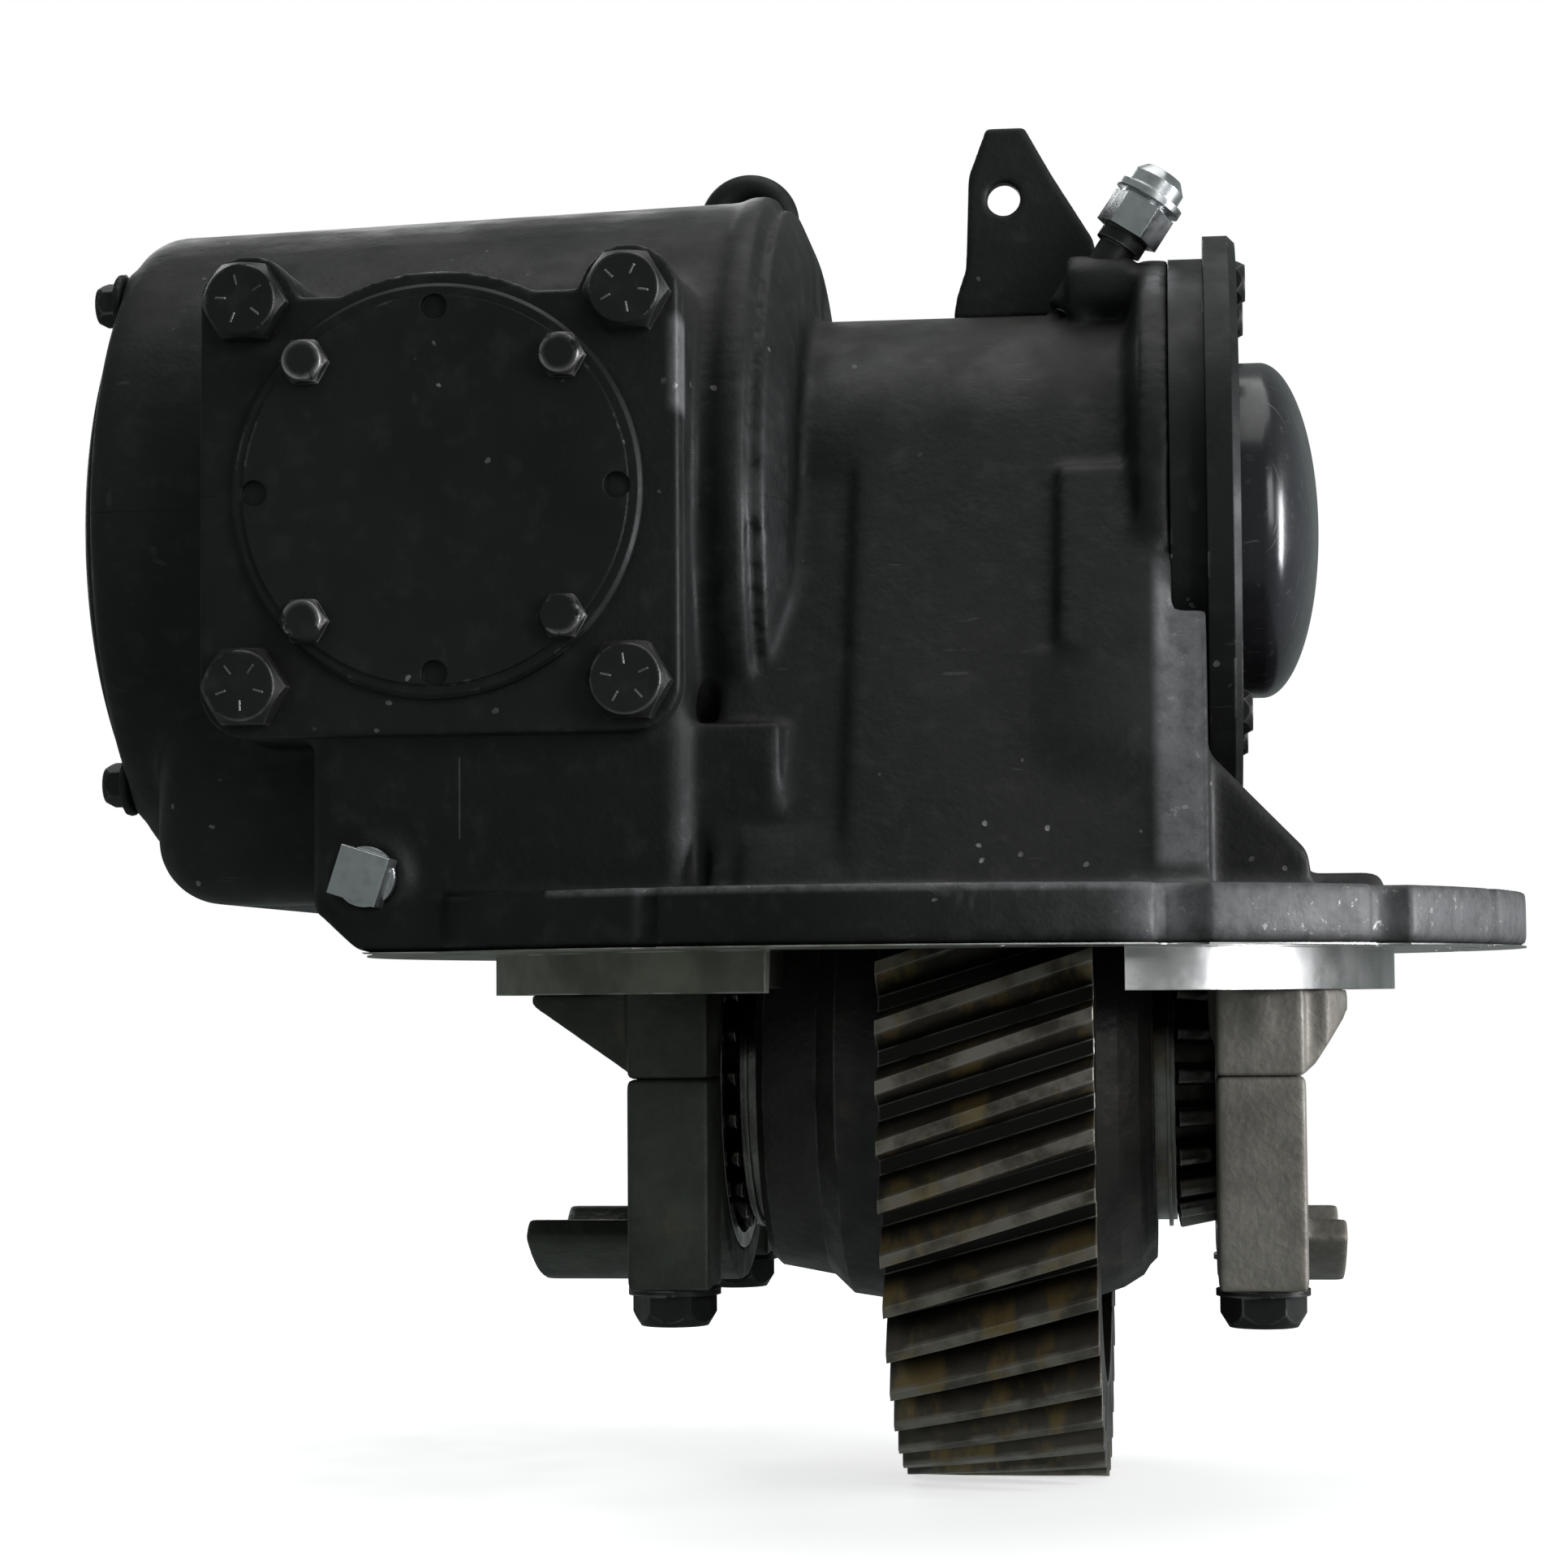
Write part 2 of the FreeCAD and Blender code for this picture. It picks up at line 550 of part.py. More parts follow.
def lean_over(thing, rise="0"):
    """Tilt a fitting to the breather's lean and slide it along that lean."""
    lean = size("breather_lean")
    thing.Placement = Placement(Vector(), Rotation(Vector(0, 1, 0), lean))
    for letter, formula in (("x", f"breather_x + ({rise}) * sin(breather_lean)"), ("y", "breather_y"),
                            ("z", f"breather_z + ({rise}) * cos(breather_lean)")):
        bind(thing, ".Placement.Base." + letter, formula)
    return thing


def pedestal(side, low_x, high_x, tip, foot):
    """Bearing pedestal below the flange, down to the split line: two legs, bosses and gussets."""
    outer = low_x if side == "left" else high_x
    legs = box(f"{side}_pedestal_legs", (low_x, high_x), ("-ped_half_y", "ped_half_y"),
               ("diff_z", "recess_top_z + 1"))
    bosses = [cylinder(f"{side}_pedestal_boss_{n}", "ped_boss_r", "recess_top_z + 1 - ped_boss_low_z",
                       (f"({low_x} + {high_x}) / 2", y, "ped_boss_low_z"))
              for n, y in enumerate(("-cap_bolt_y", "cap_bolt_y"))]
    whole = fuse(f"{side}_pedestal_whole", [legs] + bosses + pedestal_gussets(side, outer, tip, foot))
    hollows = [doc.getObject(name) for name in (f"{side}_seat", "case_hollow", "carrier_housing_cut")]
    hollows += [doc.getObject(f"cap_tap_{n}") for n in ((0, 1) if side == "left" else (2, 3))]
    limit = cylinder(f"{side}_pedestal_limit", "pilot_r - 0.5", "recess_top_z + 1 - diff_z",
                     ("0", "0", "diff_z"))
    inside = common(f"{side}_pedestal_inside", whole, limit)
    keep(cut(f"{side}_pedestal_cut", inside, hollows), f"{side}_pedestal")


def pedestal_gussets(side, outer, tip, foot):
    solids = []
    for name, y in (("near", "-cap_bolt_y"), ("far", "cap_bolt_y")):
        solids.append(extruded(f"{side}_{name}_gusset", [
            (outer, "1"), (tip, "1"), (tip, "-20"), (foot, "diff_z + 3"), (outer, "diff_z + 3"),
        ], "16", ("0", y, "0")))
    return solids


def housing():
    shell = fuse("housing_outside", flange_solids() + drum_solids() + block_solids() + barrel_solids())
    pilot_inside = cylinder("pilot_recess", "pilot_inner_r", "pilot_depth + recess_top_z + 1",
                            ("0", "0", "-pilot_depth - 1"))
    recessed = cut("housing_recessed", shell, [pilot_inside])
    walls = []
    for name, x in (("tunnel_web_left", "tunnel_left_x"), ("tunnel_web_right", "tunnel_right_x - 8")):
        walls.append(box(name, (x, f"{x} + 8"), ("-150", "150"), ("-pilot_depth + 2", "recess_top_z + 2")))
    ribbed = fuse("housing_ribbed", [recessed] + walls)
    keep(cut("carrier_housing_cut", ribbed, housing_hollows()), "carrier_housing")
    pedestal("left", "left_ped_out_x", "left_ped_in_x", "-154", "left_ped_out_x - 2")
    pedestal("right", "right_ped_in_x", "right_ped_out_x", "165", "right_ped_out_x + 3")


def housing_hollows():
    hollows = [
        cylinder("drum_hollow", "drum_left_r - drum_wall", "-90 - (drum_left_x + drum_wall)",
                 on_shaft("drum_left_x + drum_wall"), "X"),
        cylinder("drum_mouth", "drum_mouth_r", "drum_wall + 2", on_shaft("drum_left_x - 1"), "X"),
        cylinder("web_hole", "60", "60", on_shaft("-110"), "X"),
        cylinder("pinion_bore", "bore_r", "barrel_end_x + 61", on_shaft("-60"), "X"),
        cylinder("window", "window_r", "-block_face_y + 1",
                 ("input_x", "block_face_y - 1", "shaft_z"), "Y"),
        cylinder("pinion_way", "pinion_way_r", "far_face_y + 1", ("input_x", "0", "shaft_z"), "Y"),
        cylinder("cage_bore", "cage_bore_r", "60", ("input_x", "cage_start_y - 8", "shaft_z"), "Y"),
        cylinder("tunnel_hollow", "tunnel_bore_r", "tunnel_right_x - tunnel_left_x - 18",
                 on_diff("tunnel_left_x + 8"), "X"),
        cylinder("case_hollow", "diff_cavity_r", "right_ped_in_x - left_ped_in_x - 4",
                 on_diff("left_ped_in_x + 2"), "X"),
        box("mouth", ("mouth_left_x", "mouth_right_x"), ("-mouth_half_y", "mouth_half_y"),
            ("-pilot_depth - 1", "0")),
        cylinder("left_seat", "cap_seat_r", "left_ped_in_x - left_ped_out_x + 60",
                 on_diff("left_ped_out_x - 30"), "X"),
        cylinder("right_seat", "cap_seat_r", "right_ped_out_x - right_ped_in_x + 57",
                 on_diff("right_ped_in_x - 30"), "X"),
        cylinder("end_clearance", "cap_plate_r + 4", "80", on_shaft("barrel_end_x"), "X"),
        lean_over(cylinder("breather_hole", "8", "60", ("0", "0", "0"))),
        cylinder("plug_hole", "10", "30", ("plug_x", "plug_face_y - 1", "plug_z"), "Y"),
    ]
    hollows += flange_notches()
    hollows += [cylinder(f"cap_tap_{n}", "big_shank_r", "44", point)
                for n, point in enumerate(cap_bolt_points("diff_z"))]
    hollows += [cylinder(f"stud_hole_{n}", "stud_hole_r", "flange_t + 2", shifted(point, "Z", "-1"))
                for n, point in enumerate(stud_points())]
    hollows += [cylinder(f"drum_tap_{n}", "small_shank_r", "18", point, "X")
                for n, point in enumerate(drum_bolt_points("drum_left_x"))]
    hollows += [cylinder(f"cap_plate_tap_{n}", "small_shank_r", "22", point, "-X")
                for n, point in enumerate(cap_plate_points("barrel_end_x"))]
    hollows += [cylinder(f"cage_tap_{n}", "small_shank_r", "26", point, "-Y")
                for n, point in enumerate(cage_bolt_points("far_face_y"))]
    hollows += [cylinder(f"cover_tap_{n}", "big_shank_r", "32", point, "Y")
                for n, point in enumerate(cover_bolt_points("block_face_y"))]
    return hollows


def mirrored_points(radius, x, angles):
    """Points round the shaft line at some angles from +Z, on the far side and on the near side."""
    return [ring_points("X", 1, radius, on_shaft(x), sign * angle)[0]
            for sign in (1, -1) for angle in angles]


def drum_bolt_points(x):
    return mirrored_points("drum_bolt_ring_r", x, (38, 149))


def cap_plate_points(x):
    return mirrored_points("cap_bolt_ring_r", x, (21, 141))


def cage_bolt_points(y):
    return ring_points("Y", 8, "cage_bolt_ring_r", ("input_x", y, "shaft_z"), 22.5)


def cover_bolt_points(y):
    return [(f"input_x + {across} * cover_bolt_half", y, f"shaft_z + {up} * cover_bolt_half")
            for across, up in ((-1, 1), (1, 1), (1, -1), (-1, -1))]


def cap_bolt_points(z):
    columns = ("(left_ped_out_x + left_ped_in_x) / 2", "(right_ped_out_x + right_ped_in_x) / 2")
    return [(x, y, z) for x in columns for y in ("-cap_bolt_y", "cap_bolt_y")]


# ---------------------------------------------------------------- covers and closures

def drum_cover():
    """Left end plate with bolt lugs; its inner hub holds the left cross-shaft bearing."""
    plate = turned("drum_cover_plate", [
        ("0", "0"), ("drum_cover_r - 10", "0"), ("drum_cover_r", "4"), ("drum_cover_r", "drum_cover_t"),
        ("left_hub_r", "drum_cover_t"), ("left_hub_r", "left_hub_end_x - drum_left_x + drum_cover_t"),
        ("cup_r", "left_hub_end_x - drum_left_x + drum_cover_t"), ("cup_r", "drum_cover_t + 3"),
        ("cup_r - 8", "drum_cover_t"), ("0", "drum_cover_t"),
    ], on_shaft("drum_left_x - drum_cover_t"), "X")
    lugs = [cylinder(f"drum_cover_lug_{n}", "drum_lug_r", "drum_cover_t - drum_lug_sunk", point, "X")
            for n, point in enumerate(drum_bolt_points("drum_left_x - drum_cover_t + drum_lug_sunk"))]
    holes = [cylinder(f"drum_cover_hole_{n}", "small_shank_r + 0.5", "drum_cover_t + 8", point, "X")
             for n, point in enumerate(drum_bolt_points("drum_left_x - drum_cover_t - 6"))]
    holes += [cylinder(f"drum_cover_spot_{n}", "small_flats * 0.75", "drum_lug_sunk + 2", point, "X")
              for n, point in enumerate(drum_bolt_points("drum_left_x - drum_cover_t - 2"))]
    keep(cut("drum_cover", fuse("drum_cover_body", [plate] + lugs), holes), "left_drum_cover")
    bolts = [bolt(f"drum_bolt_{n}", point, "-X", "small", "20")
             for n, point in enumerate(drum_bolt_points("drum_left_x - drum_cover_t + drum_lug_sunk"))]
    keep(group("drum_bolts", bolts), "left_cover_bolts")


def right_end():
    """Bearing cage, cover plate with its bolts, and the domed cap."""
    cage = turned("cage_turned", [
        ("cup_r", "0"), ("bore_r", "0"), ("bore_r", "barrel_end_x - right_seat_x"),
        ("cage_r", "barrel_end_x - right_seat_x"), ("cage_r", "barrel_end_x + cage_t - right_seat_x"),
        ("cup_r", "barrel_end_x + cage_t - right_seat_x"),
    ], on_shaft("right_seat_x"), "X")
    cage_holes = [cylinder(f"cage_hole_{n}", "small_shank_r + 0.5", "cage_t + 2", point, "X")
                  for n, point in enumerate(cap_plate_points("barrel_end_x - 1"))]
    keep(cut("right_cage", cage, cage_holes), "right_bearing_cage")
    plate = turned("cap_plate_turned", [
        ("dome_r - 7", "0"), ("cap_plate_r", "0"), ("cap_plate_r", "cap_plate_t - 3"),
        ("cap_plate_r - 3", "cap_plate_t"), ("dome_r - 7", "cap_plate_t"),
    ], on_shaft("barrel_end_x + cage_t"), "X")
    plate_holes = [cylinder(f"cap_plate_hole_{n}", "small_shank_r + 0.5", "cap_plate_t + 2", point, "X")
                   for n, point in enumerate(cap_plate_points("barrel_end_x + cage_t - 1"))]
    plate_holes += [cylinder(f"cap_plate_spot_{n}", "small_flats * 0.75", "20", point, "X")
                    for n, point in enumerate(cap_plate_points(
                        "barrel_end_x + cage_t + cap_plate_t - cap_bolt_sunk"))]
    keep(cut("cap_plate", plate, plate_holes), "right_cover_plate")
    outside = "barrel_end_x + cage_t + cap_plate_t"
    bolts = [bolt(f"cap_plate_bolt_{n}", point, "X", "small", "cage_t + cap_plate_t + 14")
             for n, point in enumerate(cap_plate_points(f"{outside} - cap_bolt_sunk"))]
    keep(group("cap_plate_bolts", bolts), "right_cover_bolts")
    dome_outer = dome_solid("dome_outer", "0", outside)
    dome_inner = dome_solid("dome_inner", "dome_wall", outside)
    keep(cut("dome", dome_outer, [dome_inner]), "dome_cap")


def dome_solid(name, inset, start_x):
    """Short cylinder with a half-ellipsoid on its end, inset all round but at its open end."""
    base = cylinder(name + "_round", f"dome_r - {inset}", "dome_straight", on_shaft(start_x), "X")
    bulge = doc.addObject("Part::Ellipsoid", name + "_bulge")
    bind(bulge, "Radius1", f"dome_rise - {inset}")
    bind(bulge, "Radius2", f"dome_r - {inset}")
    bind(bulge, "Radius3", f"dome_r - {inset}")
    bulge.Angle1 = 0
    place(bulge, on_shaft(f"{start_x} + dome_straight"), "X")
    return fuse(name, [base, bulge])


def square_cover():
    """Lobed plate on the block's near face, the round cover in its middle, and their bolts."""
    face = "block_face_y - cover_t"
    plate = cover_outline("square", face, "block_face_y", "cover_t")
    through = ("input_x", f"{face} - 1", "shaft_z")
    holes = [cylinder("square_window", "window_r", "cover_t + 2", through, "Y")]
    holes += [cylinder(f"square_hole_{n}", "big_shank_r + 0.5", "cover_t + 2", point, "Y")
              for n, point in enumerate(cover_bolt_points(f"{face} - 1"))]
    holes += [cylinder(f"disc_tap_{n}", "small_shank_r", "cover_t + 2", point, "Y")
              for n, point in enumerate(disc_points(f"{face} - 1", 45))]
    keep(cut("square_cover", fuse("square_body", plate), holes), "square_cover")
    for n, point in enumerate(cover_bolt_points(face), start=1):
        keep(bolt(f"square_bolt_{n}", point, "-Y", "big", "cover_t + 30"), f"square_cover_bolt_{n}")

    disc = turned("disc_turned", [
        ("0", "0"), ("disc_lip_r", "0"), ("disc_lip_r", "1.5"), ("disc_r - 1.5", "1.5"), ("disc_r", "3"),
        ("disc_r", "disc_t"), ("window_r - 0.2", "disc_t"), ("window_r - 0.2", "disc_t + 10"),
        ("window_r - 8", "disc_t + 10"), ("window_r - 8", "disc_t"), ("0", "disc_t"),
    ], ("input_x", f"{face} - disc_t", "shaft_z"), "Y")
    disc_face = f"{face} - disc_t"
    marks = [cylinder(f"disc_dimple_{n}", "dimple_r", "dimple_depth + 1", point, "Y")
             for n, point in enumerate(disc_points(f"{disc_face} - 1", 0))]
    marks += [cylinder(f"disc_hole_{n}", "small_shank_r + 0.5", "disc_t + 2", point, "Y")
              for n, point in enumerate(disc_points(f"{disc_face} - 1", 45))]
    keep(cut("round_cover", disc, marks), "round_cover")
    bolts = [bolt(f"disc_bolt_{n}", point, "-Y", "small", "disc_t + cover_t - 1")
             for n, point in enumerate(disc_points(disc_face, 45))]
    keep(group("disc_bolts", bolts), "round_cover_bolts")


def disc_points(y, start):
    return ring_points("Y", 4, "disc_bolt_ring_r", ("input_x", y, "shaft_z"), start)


def fittings():
    """Square-head plug, breather, lifting eye and the upright bracket."""
    stem = cylinder("plug_stem", "10", "18", ("plug_x", "plug_face_y", "plug_z"), "Y")
    collar = cylinder("plug_collar", "11.5", "3", ("plug_x", "plug_face_y", "plug_z"), "-Y")
    head = prism("plug_head", 4, "plug_square", "14", ("plug_x", "plug_face_y", "plug_z"),
                 TURN["-Y"] * Rotation(Vector(0, 0, 1), 27))
    keep(fuse("plug", [stem, collar, head]), "square_head_plug")

    neck = turned("breather_neck_turned", [
        ("0", "0"), ("8", "0"), ("8", "breather_rise - 6"), ("10", "breather_rise - 6"),
        ("10", "breather_rise"), ("0", "breather_rise"),
    ], ("0", "0", "0"))
    lean_over(neck)
    keep(neck, "breather_neck")
    hexagon = prism("breather_hexagon", 6, "breather_flats", "14", ("0", "0", "0"))
    crown = turned("breather_crown", [
        ("0", "13"), ("11", "13"), ("11", "15"), ("14.5", "16"), ("14.5", "19"), ("11.5", "20"),
        ("11.5", "25"), ("8", "29"), ("0", "30"),
    ], ("0", "0", "0"))
    head = fuse("breather_head_whole", [lean_over(hexagon, "breather_rise"),
                                        lean_over(crown, "breather_rise")])
    keep(head, "breather_head")

    ring = doc.addObject("Part::Torus", "eye_ring")
    bind(ring, "Radius1", "eye_ring_r")
    bind(ring, "Radius2", "eye_rod_r")
    place(ring, ("eye_x", "eye_y", "eye_z"), "Y")
    shank = cylinder("eye_shank", "11", "26", ("eye_x", "eye_y", "eye_z - eye_ring_r - 24"))
    hole = cylinder("eye_hole", "eye_ring_r - eye_rod_r", "60", ("eye_x", "eye_y - 30", "eye_z"), "Y")
    taken = [hole, doc.getObject("drum_shell"), doc.getObject("drum_rims")]
    keep(cut("eye", fuse("eye_whole", [ring, shank]), taken), "lifting_eye")

    plate = extruded("bracket_plate", [
        ("5.7", "shaft_z + barrel_r - 12"), ("9", "274"), ("13", "286"), ("14.5", "325"), ("22", "345"),
        ("38", "345"), ("49", "325"), ("66", "297"), ("75.5", "shaft_z + barrel_r - 12"),
    ], "bracket_t", ("0", "0", "0"))
    eye = cylinder("bracket_eye", "bracket_hole_r", "40", ("bracket_hole_x", "-20", "bracket_hole_z"), "Y")
    under = cylinder("bracket_clear", "barrel_r", "300", on_shaft("-60"), "X")
    keep(cut("bracket", plate, [eye, under, doc.getObject("breather_boss")]), "top_bracket")


# ---------------------------------------------------------------- differential carrier caps

def bearing_cap(side, low_x, high_x, tongue_x):
    """Half-round cap below the split line with two bolt lugs and an outboard tongue."""
    span = f"({high_x}) - ({low_x})"
    arch = cylinder(f"{side}_cap_arch", "cap_outer_r", span, on_diff(low_x), "X")
    lugs = [box(f"{side}_cap_lug_near", (low_x, high_x), ("-ped_half_y", "-cap_lug_in_y"),
                ("diff_z - cap_lug_drop", "diff_z")),
            box(f"{side}_cap_lug_far", (low_x, high_x), ("cap_lug_in_y", "ped_half_y"),
                ("diff_z - cap_lug_drop", "diff_z"))]
    body = common(f"{side}_cap_lower", fuse(f"{side}_cap_body", [arch] + lugs),
                  half_space(f"{side}_cap_side", "-300", "diff_z"))
    tongue = cylinder(f"{side}_tongue_round", "cap_outer_r", "tongue", on_diff(tongue_x), "X")
    tongue.Angle = size("tongue_arc")
    tongue.Placement.Rotation = TURN["X"] * Rotation(Vector(0, 0, 1), -size("tongue_arc") / 2)
    trimmed = cut(f"{side}_tongue", tongue,
                  [cylinder(f"{side}_tongue_inside", "tongue_inner_r", "tongue + 2",
                            on_diff(f"{tongue_x} - 1"), "X")])
    holes = [cylinder(f"{side}_cap_seat", "cap_seat_r", f"{span} + 2", on_diff(f"{low_x} - 1"), "X")]
    for name, y in (("near", "-cap_bolt_y"), ("far", "cap_bolt_y")):
        holes.append(cylinder(f"{side}_cap_hole_{name}", "big_shank_r + 0.5", "cap_lug_drop + 2",
                              (f"({low_x} + {high_x}) / 2", y, "diff_z - cap_lug_drop - 1")))
    keep(cut(f"{side}_cap_cut", fuse(f"{side}_cap_whole", [body, trimmed]), holes), f"{side}_bearing_cap")


def differential_supports():
    bearing_cap("left", "left_ped_out_x", "left_ped_in_x", "left_ped_out_x - tongue")
    bearing_cap("right", "right_ped_in_x", "right_ped_out_x", "right_ped_out_x - 34")
    for n, point in enumerate(cap_bolt_points("diff_z - cap_lug_drop"), start=1):
        keep(bolt(f"cap_bolt_{n}_whole", point, "-Z", "big", "cap_lug_drop + 38", washer=True),
             f"cap_bolt_{n}")
    ring = [("ring_inner_r", "0"), ("cap_seat_r", "0"), ("cap_seat_r", "ring_width"),
            ("ring_inner_r + 6", "ring_width"), ("ring_inner_r", "ring_width - 4")]
    cup = [("roller_large_r", "0"), ("cap_seat_r", "0"), ("cap_seat_r", "cup_width"),
           ("roller_small_r", "cup_width")]
    for side, way, start in (("left", "-X", "left_ped_in_x"), ("right", "X", "right_ped_in_x")):
        sign = "-" if side == "left" else "+"
        keep(turned(f"{side}_cup", cup, on_diff(start), way), f"{side}_differential_cup")
        keep(turned(f"{side}_ring_turned", ring, on_diff(f"{start} {sign} cup_width"), way),
             f"{side}_adjusting_ring")


# ---------------------------------------------------------------- bearings, shafts and gears

def tapered_cone(label, name, bore, small, large, width, at, way):
    """Bearing inner race with its rollers as one tapered ring."""
    keep(turned(name, [
        (bore, "0"), (f"{large} - running * 2", "0"), (f"{small} - running * 2", width), (bore, width),
    ], at, way), label)


def differential():
    """Bull gear, two-part case, case bolts, spider and side bearings."""
    gear = helical_gear(round(size("gear_teeth")), 1, 4)
    web = size("diff_x"), size("web_right_x")
    left, right = size("gear_x") - size("gear_width") / 2, size("gear_x") + size("gear_width") / 2
    rim_r, inner_r = size("gear_rim_r"), size("case_body_r")
    axis = Vector(1, 0, 0)
    gear = gear.cut([
        Part.makeCylinder(inner_r, right - left + 2, Vector(left - 1, 0, 0), axis),
        Part.makeCylinder(rim_r, web[0] - left + 1, Vector(left - 1, 0, 0), axis),
        Part.makeCylinder(rim_r, right - web[1] + 1, Vector(web[1], 0, 0), axis),
    ] + [Part.makeCylinder(size("small_shank_r") + 0.5, 60, Vector(web[0] - 5, y, z), axis)
         for y, z in case_bolt_circle()])
    keep(feature("bull_gear_feature", gear, (0, 0, size("diff_z"))), "bull_gear")

    halves = (
        ("left", "-X", "diff_x", "diff_x - case_left_x", "case_left_r", "50", "web_flange_t", "0"),
        ("right", "X", "diff_x", "case_right_x - diff_x", "case_right_r", "60",
         "web_right_x + web_flange_t - diff_x", "web_right_x - diff_x"),
    )
    for side, way, start, end, step_r, step, flange_end, flange_start in halves:
        outline = [("case_cavity_r", "0")]
        if side == "right":
            outline += [("case_body_r", "0"), ("case_body_r", flange_start)]
        outline += [
            ("case_flange_r", flange_start), ("case_flange_r", flange_end), ("case_body_r - 4", flange_end),
            (step_r, step), ("case_step_r", f"{step} + 8"), ("case_neck_r", f"{end} - 3"),
            ("case_neck_r - 3", end), ("hub_r", end), ("hub_r", f"{end} + 34"),
            ("axle_way_r", f"{end} + 34"), ("axle_way_r", "side_hub_end + 2"),
            ("journal_r + running", "side_hub_end + 2"), ("journal_r + running", "case_cavity_half"),
            ("case_cavity_r", "case_cavity_half"),
        ]
        half = turned(f"case_{side}_turned", outline, on_diff(start), way)
        tools = [cylinder(f"case_{side}_pin_way_{n}", "spider_pin_r", "spider_reach + 0.5",
                          ("diff_x", "0", "diff_z"), direction)
                 for n, direction in enumerate(("Y", "-Y", "Z", "-Z"))]
        tools += [cylinder(f"case_{side}_hole_{n}", "small_shank_r + 0.5", "120", point, "X")
                  for n, point in enumerate(case_bolt_points("diff_x - 60"))]
        keep(cut(f"case_{side}", half, tools), f"case_half_{side}")
    seat = "web_right_x + web_flange_t"
    bolts = [bolt(f"case_bolt_{n}", point, "X", "small", "web_right_x + 2 * web_flange_t - diff_x")
             for n, point in enumerate(case_bolt_points(seat))]
    keep(group("case_bolts_all", bolts), "case_bolts")

    arms = [cylinder(f"spider_arm_{n}", "spider_pin_r", "spider_reach", on_diff("diff_x"), direction)
            for n, direction in enumerate(("Y", "-Y", "Z", "-Z"))]
    hub = cylinder("spider_hub", "spider_hub_r", "28", on_diff("diff_x - 14"), "X")
    keep(fuse("spider_whole", arms + [hub]), "spider")
    tapered_cone("left_differential_cone", "left_cone", "hub_r", "roller_small_r", "roller_large_r",
                 "32", on_diff("case_left_x"), "-X")
    tapered_cone("right_differential_cone", "right_cone", "hub_r", "roller_small_r", "roller_large_r",
                 "32", on_diff("case_right_x"), "X")


def case_bolt_points(x):
    return ring_points("X", 12, "case_bolt_ring_r", on_diff(x), 15)


def case_bolt_circle():
    radius = size("case_bolt_ring_r")
    return [(radius * math.sin(math.radians(angle)), radius * math.cos(math.radians(angle)))
            for angle in around(12, 15)]


def differential_bevels():
    """Two side gears and four spider pinions, meshing at rest."""
    module, face = size("side_module"), size("side_face")
    side_teeth, spider_teeth = round(size("side_teeth")), round(size("spider_teeth"))
    centre = (size("diff_x"), 0, size("diff_z"))
    half_tooth = 180 / side_teeth
    side = bevel_gear(side_teeth, spider_teeth, module, face, size("side_back"), 2.0,
                      (size("journal_r"), size("side_hub_end")), size("side_bore_r"), 25.0)
    for label, turn in (("left_side_gear", -90), ("right_side_gear", 90)):
        spin = Rotation(Vector(0, 1, 0), turn) * Rotation(Vector(0, 0, 1), half_tooth)
        keep(feature(label + "_feature", side, centre, spin), label)
    pinion = bevel_gear(spider_teeth, side_teeth, module, face, size("spider_back"), 1.0, None,
                        size("spider_pin_r") + size("running"), 25.0)
    for number in range(4):
        spin = Rotation(Vector(1, 0, 0), 90 * number)
        keep(feature(f"spider_pinion_{number + 1}_feature", pinion, centre, spin),
             f"spider_pinion_{number + 1}")


def cross_shaft():
    """Cross shaft with its helical pinion, the bevel ring gear on it, and its bearings."""
    start = size("shaft_left_x")
    steps = [("seat_r", "left_seat_x"), ("ring_bore_r", "collar_left_x"), ("collar_r", "collar_right_x"),
             ("shaft_r", "right_seat_x"), ("seat_r", "shaft_right_x")]
    outline = [Vector(start, 0, 0)]
    reached = start
    for radius, end in steps:
        outline += [Vector(reached, 0, size(radius)), Vector(size(end), 0, size(radius))]
        reached = size(end)
    outline += [Vector(reached, 0, 0), outline[0]]
    shaft = Part.Face(Part.makePolygon(outline)).revolve(Vector(), Vector(1, 0, 0), 360)
    if shaft.Volume < 0:
        shaft.reverse()
    pinion = helical_gear(round(size("pinion_teeth")), -1, 6)
    whole = shaft.fuse(pinion).removeSplitter()
    keep(feature("cross_shaft_feature", whole, (0, 0, size("shaft_z"))), "cross_shaft")

    apex = (size("input_x"), 0, size("shaft_z"))
    ring_teeth, bevel_teeth = round(size("ring_teeth")), round(size("bevel_teeth"))
    ring = bevel_gear(ring_teeth, bevel_teeth, size("bevel_module"), size("bevel_face"),
                      size("ring_back"), 12.0, None, size("ring_bore_r"))
    spin = Rotation(Vector(0, 1, 0), -90) * Rotation(Vector(0, 0, 1), 90)
    keep(feature("ring_gear_feature", ring, apex, spin), "bevel_ring_gear")

    cup = [("cone_large_r", "0"), ("cup_r", "0"), ("cup_r", "cone_width"), ("cone_small_r", "cone_width")]
    for side, way, x in (("left", "-X", "left_seat_x - 2"), ("right", "X", "right_seat_x + 2")):
        keep(turned(f"{side}_cross_cup", cup, on_shaft(x), way), f"{side}_cross_cup")
        tapered_cone(f"{side}_cross_cone", f"{side}_cross_race", "seat_r", "cone_small_r",
                     "cone_large_r", "cone_width", on_shaft(x), way)


